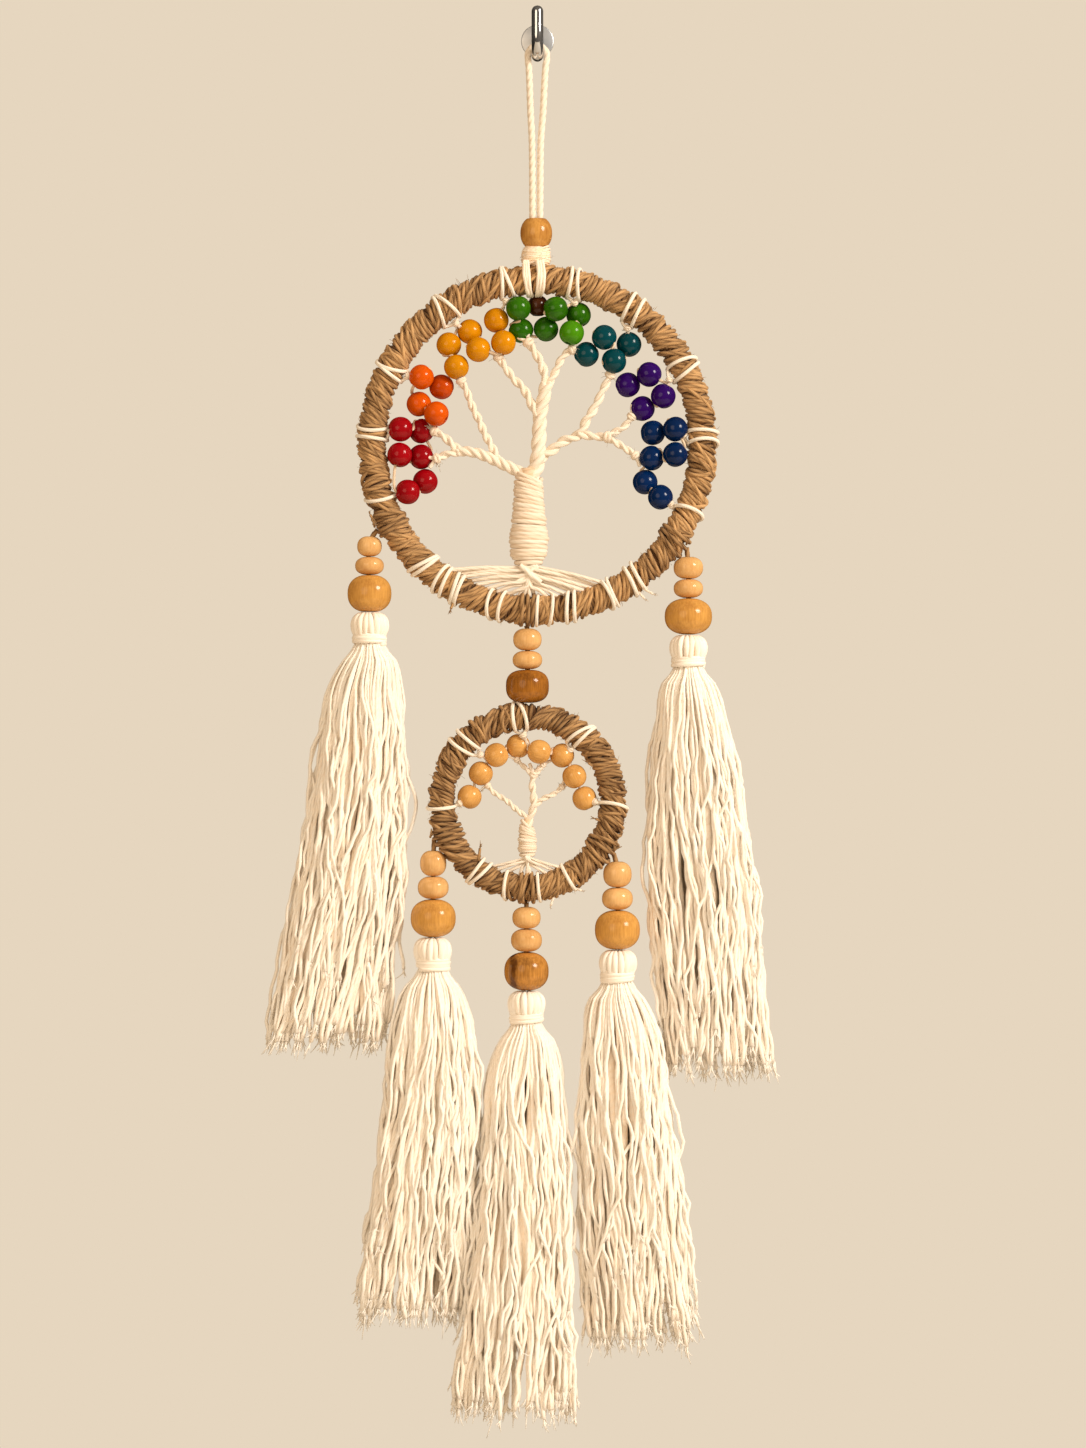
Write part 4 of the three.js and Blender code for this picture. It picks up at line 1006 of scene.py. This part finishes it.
# the outline of the ball: how far below its top, and half how wide there
KNOT_OUTLINE = [(0.1, 2.6), (0.8, 3.9), (2.0, 5.2), (3.6, 6.0), (5.4, 6.35), (7.2, 6.0), (8.8, 4.6),
                (9.4, 3.0)]
# the ball's layers of fine turns: their radius, their number and how they tilt
KNOT_LAYERS = [(0.5, 11, 0.5), (0.46, 12, -0.9), (0.42, 6, 2.4)]
KNOT_FLAT = -0.9  # the turns run clockwise from above, and the ball is less deep than wide
KNOT_HAIRS = 160
# the legs' yarns: where they leave the ball, and where they cross the hoop's outer and inner edge
KNOT_LEGS = [(-5.6, 94.3, 93.5), (-5.0, 93.7, 92.9), (-4.2, 92.9, 92.2),
             (0.2, 90.4, 90.4), (1.2, 89.4, 89.7), (2.2, 88.4, 88.6)]


def tie_top_knot(rng):
    knot = Strands()
    down, reach = np.array(KNOT_OUTLINE).T
    for fine, turns, tilt in KNOT_LAYERS:
        turn = np.linspace(0, turns, turns * 22 + 1)
        phi = 2 * np.pi * turn + tilt
        below = np.interp(turn, [0, turns], [0.4, 9.0])
        half = np.interp(below, down, reach) - fine + 0.12 + wander(turn, 1.7, 0.1, rng)
        level = KNOT_TOP - below + tilt * np.cos(phi) * half / 6
        knot.add(round_upright(KNOT_X, half, phi, level, KNOT_FLAT), fine, sides=7,
                 shade=0.5 + wander(turn, 2.3, 0.14, rng), lay=0.5)
    knot.add(round_upright(KNOT_X, 0.0, 0.0, KNOT_TOP - down), reach - 0.7, sides=16, shade=0.6)
    for _ in range(KNOT_HAIRS):
        phi, below = rng.uniform(0, 2 * np.pi), rng.uniform(0.6, 8.4)
        root = round_upright(KNOT_X, np.interp(below, down, reach), phi, KNOT_TOP - below, KNOT_FLAT)
        out = np.array([math.cos(phi), -math.sin(phi), 0.0])
        sweep = rng.normal(0, 0.5, 3)
        hair = [root - 0.4 * out, root + 0.35 * out + 0.4 * sweep, root + 0.6 * out + sweep]
        knot.add(hair, [0.09, 0.07, 0.04], sides=3, shade=0.9)
    for leaves, outer, inner in KNOT_LEGS:
        turn = turn_round(LARGE_HOOP, outer, inner, 0.7, 0.5 if leaves < 0 else -0.9, 34)
        turn += np.column_stack([wander(run_along(turn), 9, 0.15, rng) for _ in range(3)])
        # over the front from the ball down, then round under the hoop and up behind it
        route = [[leaves, HANG_Y - 4.2, KNOT_TOP - 7.6], [leaves, HANG_Y - 6.8, KNOT_TOP - 8.2], *turn[15::3]]
        knot.add(smooth_line(route, 0.7), 0.82, sides=10, shade=0.7, lobes=3, depth=0.14, pitch=16.0, lay=0.5)
    place_piece(knot.build("top_cord_knot", cotton_yarn), "cotton_cord", "top_knot")


tie_top_knot(np.random.default_rng(7))

# A dark brown bead half hidden under the knot, behind the green ones, coloured as dark as it looks there: its
# own brown and partly painted shade
dark_wood = lacquered_wood("dark brown lacquered wood", "#4a2410", "#220f06", 0.5, 0.6)
place_bead((8.8, 8.4, 1.1, 2.1), (0.2, HANG_Y + 4.0, LARGE_HOOP["z"] + 60.2), 0.4, 0.0, (17, 3, 5),
           "dark_bead_under_knot", dark_wood, "bead_dark_wood")

# The tassels

HEAD_HEIGHT = 15.2  # from the bead down to the end of the neck
# the binding: how far over the neck's end it lies, its height and its radius
BAND_LIP, BAND_HEIGHT, BAND_REACH = 0.8, 6.2, 6.5
BAND_TURNS = 3.4
# the head's outline: how far from its middle a lock of yarns lies, and how far below the bead
HEAD_OUTLINE = [(1.9, 0.5), (4.4, 0.9), (6.3, 2.7), (6.95, 5.4), (6.5, 8.2), (5.5, 10.6), (4.9, 14.8)]
HEAD_LOCKS = 18
YARN_RADIUS = 0.93
YARN_STEP = 3.8  # between the points of a yarn
# rings of yarns in a skirt: how many, their share of its half width, and how thick they are; the
# inmost are whole locks that close it
YARN_RINGS = [(66, 0.97, 1.0), (54, 0.89, 1.0), (28, 0.74, 2.8)]
STRAY_YARNS = 34
YARN_SWAYS = [(66, 1.0), (24, 0.55), (12, 0.26)]  # wavelengths, and how far each goes

# Skirts, a row for each section: how far below the neck, across, back towards the wall, half the
# width and half the depth. All begin in the same way.
NECK_ROWS = [(0, 0, 0, 6.2, 6.0), (2, 0, 0, 8.6, 7.4), (6, 0, 0, 12.0, 8.8)]
SKIRTS = {
    "left": [(17, -2, 0.3, 15.5, 10), (70, -5.5, 2.6, 22, 11.5), (170, -19.1, 4, 27.5, 11)],
    "right": [(17, 0.8, 0.3, 14.8, 10), (70, 4.6, 2.6, 22.4, 11.5), (172, 13.2, 4, 25.4, 11)],
    "lower_left": [(16, 0, -1.8, 16, 10), (62, -0.8, -4, 21.8, 11.5), (147, -10.5, -3, 24, 10.5)],
    "lower_middle": [(16, -0.6, -1, 15.6, 10), (68, -0.6, -7.5, 19.2, 11), (164, -5, -11.5, 28, 10.5)],
    "lower_right": [(16, 1.4, -2, 15.4, 10), (64, 4.2, -4.2, 21, 11.5), (152, 10.3, -3, 25.4, 10.5)],
}


def hang_yarn(yarns, x, neck, rows, start, share, drift, length, thick, shade, rng, loose=1.0):
    """One yarn from under the binding to its frayed end. Neighbours sway together in locks."""
    down = np.arange(-2.0, length, YARN_STEP)
    part = np.clip(down / length, 0, 1)
    across, back, half, deep = (np.interp(down, rows[:, 0], rows[:, i]) for i in range(1, 5))
    free = np.clip(down / 30, 0, 1)
    sway = loose * np.clip(down / (34 * loose), 0, 1)
    locks = 0.12 * np.sin(2 * start + down / 41 + x) + 0.09 * np.sin(6 * start - down / 27 + 2 * x)
    angle = start + drift * part ** 1.3 + free * locks
    girth = thick * np.interp(down, [0, 14, 34], [0.62, 0.85, 1.0])
    if thick > 1.5:
        girth *= np.interp(part, [0.75, 1.0], [1.0, 0.35])
    sideways = sum(wander(down, wavelength, amount, rng) for wavelength, amount in YARN_SWAYS)
    line = np.column_stack([
        x + across + (half - girth) * share * np.cos(angle) + sway * sideways,
        HANG_Y + back + (deep - girth) * share * np.sin(angle) + sway * wander(down, 30, 0.7, rng),
        neck - down,
    ])
    yarns.add(line, girth, sides=5, shade=shade)
    frayed_end(yarns, line[-1], line[-1] - line[-3], rng.uniform(3.5, 7.0), 0.4 * YARN_RADIUS, rng, 4, 1.0)


def form_head(yarns, x, top, rng):
    """Locks of yarn from under the bead down over the head, and a core that closes it."""
    reach, down = smooth_line(HEAD_OUTLINE, 0.9).T
    for i in range(HEAD_LOCKS):
        lean = rng.normal(0, 0.16)
        around = 2 * np.pi * (i + rng.uniform(-0.2, 0.2)) / HEAD_LOCKS
        around = around + lean * np.linspace(-0.5, 0.5, len(reach))
        away = reach * rng.uniform(0.96, 1.03)
        thick = np.clip(np.pi * away / HEAD_LOCKS * rng.uniform(1.08, 1.25), 0.4, 1.42)
        yarns.add(round_upright(x, away, around, top - down), thick, sides=14, shade=rng.uniform(0.82, 1.0),
                  lobes=5, depth=0.14, pitch=45.0, lay=0.2)
    # the core is painted darker, as painted shade where it shows between the locks
    core = round_upright(x, 0.0, 0.0, top - 0.6 - down[::3])
    yarns.add(core, np.maximum(reach[::3] - 0.5, 0.5), sides=14, shade=0.3)


def bind_neck(name, x, neck, rng):
    """The cord wound round a tassel's neck, as a piece of its own."""
    turn = np.linspace(0, BAND_TURNS, 90)
    phi = 2 * np.pi * turn + rng.uniform(0, 6)
    thick = 0.5 * BAND_HEIGHT / BAND_TURNS + 0.1
    reach = BAND_REACH + wander(turn, 1.7, 0.14, rng)
    tilt = rng.normal(0, 0.25)
    level = neck + BAND_LIP + thick + (BAND_HEIGHT - 2 * thick) * turn / BAND_TURNS + tilt * np.cos(phi)
    level += wander(turn, 1.1, 0.16, rng)
    binding = Strands()
    binding.add(round_upright(x, reach, phi, level), thick * (1 + wander(turn, 0.9, 0.07, rng)), sides=12,
                shade=0.88, lobes=4, depth=0.1, pitch=40.0, lay=0.2)
    place_piece(binding.build(f"{name}_neck_binding", cotton_yarn), "cotton_cord", f"binding_{name}")


def hang_tassel(name, stack, skirt, seed):
    """Skirt and head of one tassel as one piece, and its binding as another."""
    rng = np.random.default_rng(seed)
    x, top = stack["x"], stack_bottom(stack) - BEAD_GAP
    neck = top - HEAD_HEIGHT
    rows = smooth_line([*NECK_ROWS, *skirt], 1.0)
    longest = skirt[-1][0]
    yarns = Strands()
    for ring, (count, share, thick) in enumerate(YARN_RINGS):
        for i in range(count):
            start = 2 * np.pi * (i + 0.5 * (ring % 2)) / count + rng.normal(0, 0.04)
            # painted shade: the deeper a ring lies, the darker and warmer its yarns, with a random tone on
            # top
            tone = 0.5 + 0.45 * share ** 2 + rng.uniform(-0.1, 0.1)
            short = rng.random() >= 0.88
            length = longest * rng.uniform(0.72, 0.94) if short else longest + rng.uniform(-9, 3)
            out, drift = share * rng.uniform(0.92, 1.0), rng.normal(0, 0.11)
            hang_yarn(yarns, x, neck, rows, start, out, drift, length - 4 * (thick - 1),
                      thick * YARN_RADIUS * rng.uniform(0.8, 1.15), tone, rng, 1 / thick)
    for _ in range(STRAY_YARNS):
        start, out, drift = rng.uniform(0, 2 * np.pi), rng.uniform(0.98, 1.03), rng.normal(0, 0.55)
        length, tone = longest * rng.uniform(0.7, 1.0), rng.uniform(0.9, 1.05)
        hang_yarn(yarns, x, neck, rows, start, out, drift, length, 0.85 * YARN_RADIUS, tone, rng, 1.7)
    form_head(yarns, x, top, rng)
    place_piece(yarns.build(f"{name}_tassel_yarns", cotton_yarn), "cotton_yarn", f"tassel_{name}")
    bind_neck(name, x, neck, rng)


for seed, (name, skirt) in enumerate(SKIRTS.items()):
    hang_tassel(name, STACKS[name], skirt, 100 + seed)

# The stage: a pale floor far below, a pale room, a soft key light from the upper right

bpy.ops.object.select_all(action="DESELECT")
bpy.ops.mesh.primitive_plane_add(size=2.8, location=(0, 0, -0.95))
floor = bpy.context.object
floor.name = "pale_floor"
# matt, and a little cooler than the room, so that it throws no warm light up
floor_paint = new_material("pale matt floor paint", {"Base Color": colour("#d8d2c8"), "Roughness": 0.9})[0]
floor.data.materials.append(floor_paint)

world = bpy.data.worlds.new("pale room")
bpy.context.scene.world = world
world.use_nodes = True
tree = world.node_tree
# the room is a plain cream behind, warm and dimmer round about, lighter to the upper right, and
# dim where the lacquer and the chrome mirror it
toward = add_node(tree, "ShaderNodeTexCoord")
facing = add_node(tree, "ShaderNodeVectorMath", {0: toward.outputs["Generated"], 1: (0.55, -0.5, 0.67)},
                  operation="DOT_PRODUCT")
rise = add_node(tree, "ShaderNodeMapRange", {"Value": facing.outputs["Value"], "From Min": -0.9,
                                            "From Max": 0.9})
around, mirrored = (
    add_node(tree, "ShaderNodeMix", {0: rise, 6: colour(dim), 7: colour(bright)}, data_type="RGBA").outputs[2]
    for dim, bright in (("#9c8264", "#e2cdb0"), ("#221e1a", "#7a7064"))
)
seen = add_node(tree, "ShaderNodeLightPath")
room = add_node(tree, "ShaderNodeMix", {0: seen.outputs["Is Glossy Ray"], 6: around, 7: mirrored},
                data_type="RGBA")
room = add_node(tree, "ShaderNodeMix", {0: seen.outputs["Is Camera Ray"], 6: room.outputs[2],
                                        7: colour("#e6d6bf")}, data_type="RGBA")
tree.links.new(room.outputs[2], tree.nodes["Background"].inputs["Color"])


def soft_light(place, aim, size, watts, tint):
    bpy.ops.object.light_add(type="AREA", location=place)
    light = bpy.context.object
    light.data.shape = "DISK"
    light.data.size = size
    light.data.energy = watts
    light.data.color = colour(tint)[:3]
    light.rotation_euler = (Vector(aim) - Vector(place)).to_track_quat("-Z", "Y").to_euler()


soft_light((1.6, -1.3, 0.7), (0, 0, -0.3), 0.8, 45, "#fff6ea")
soft_light((-1.0, -2.0, 0.2), (0, 0, -0.3), 1.4, 10, "#ffe6c8")
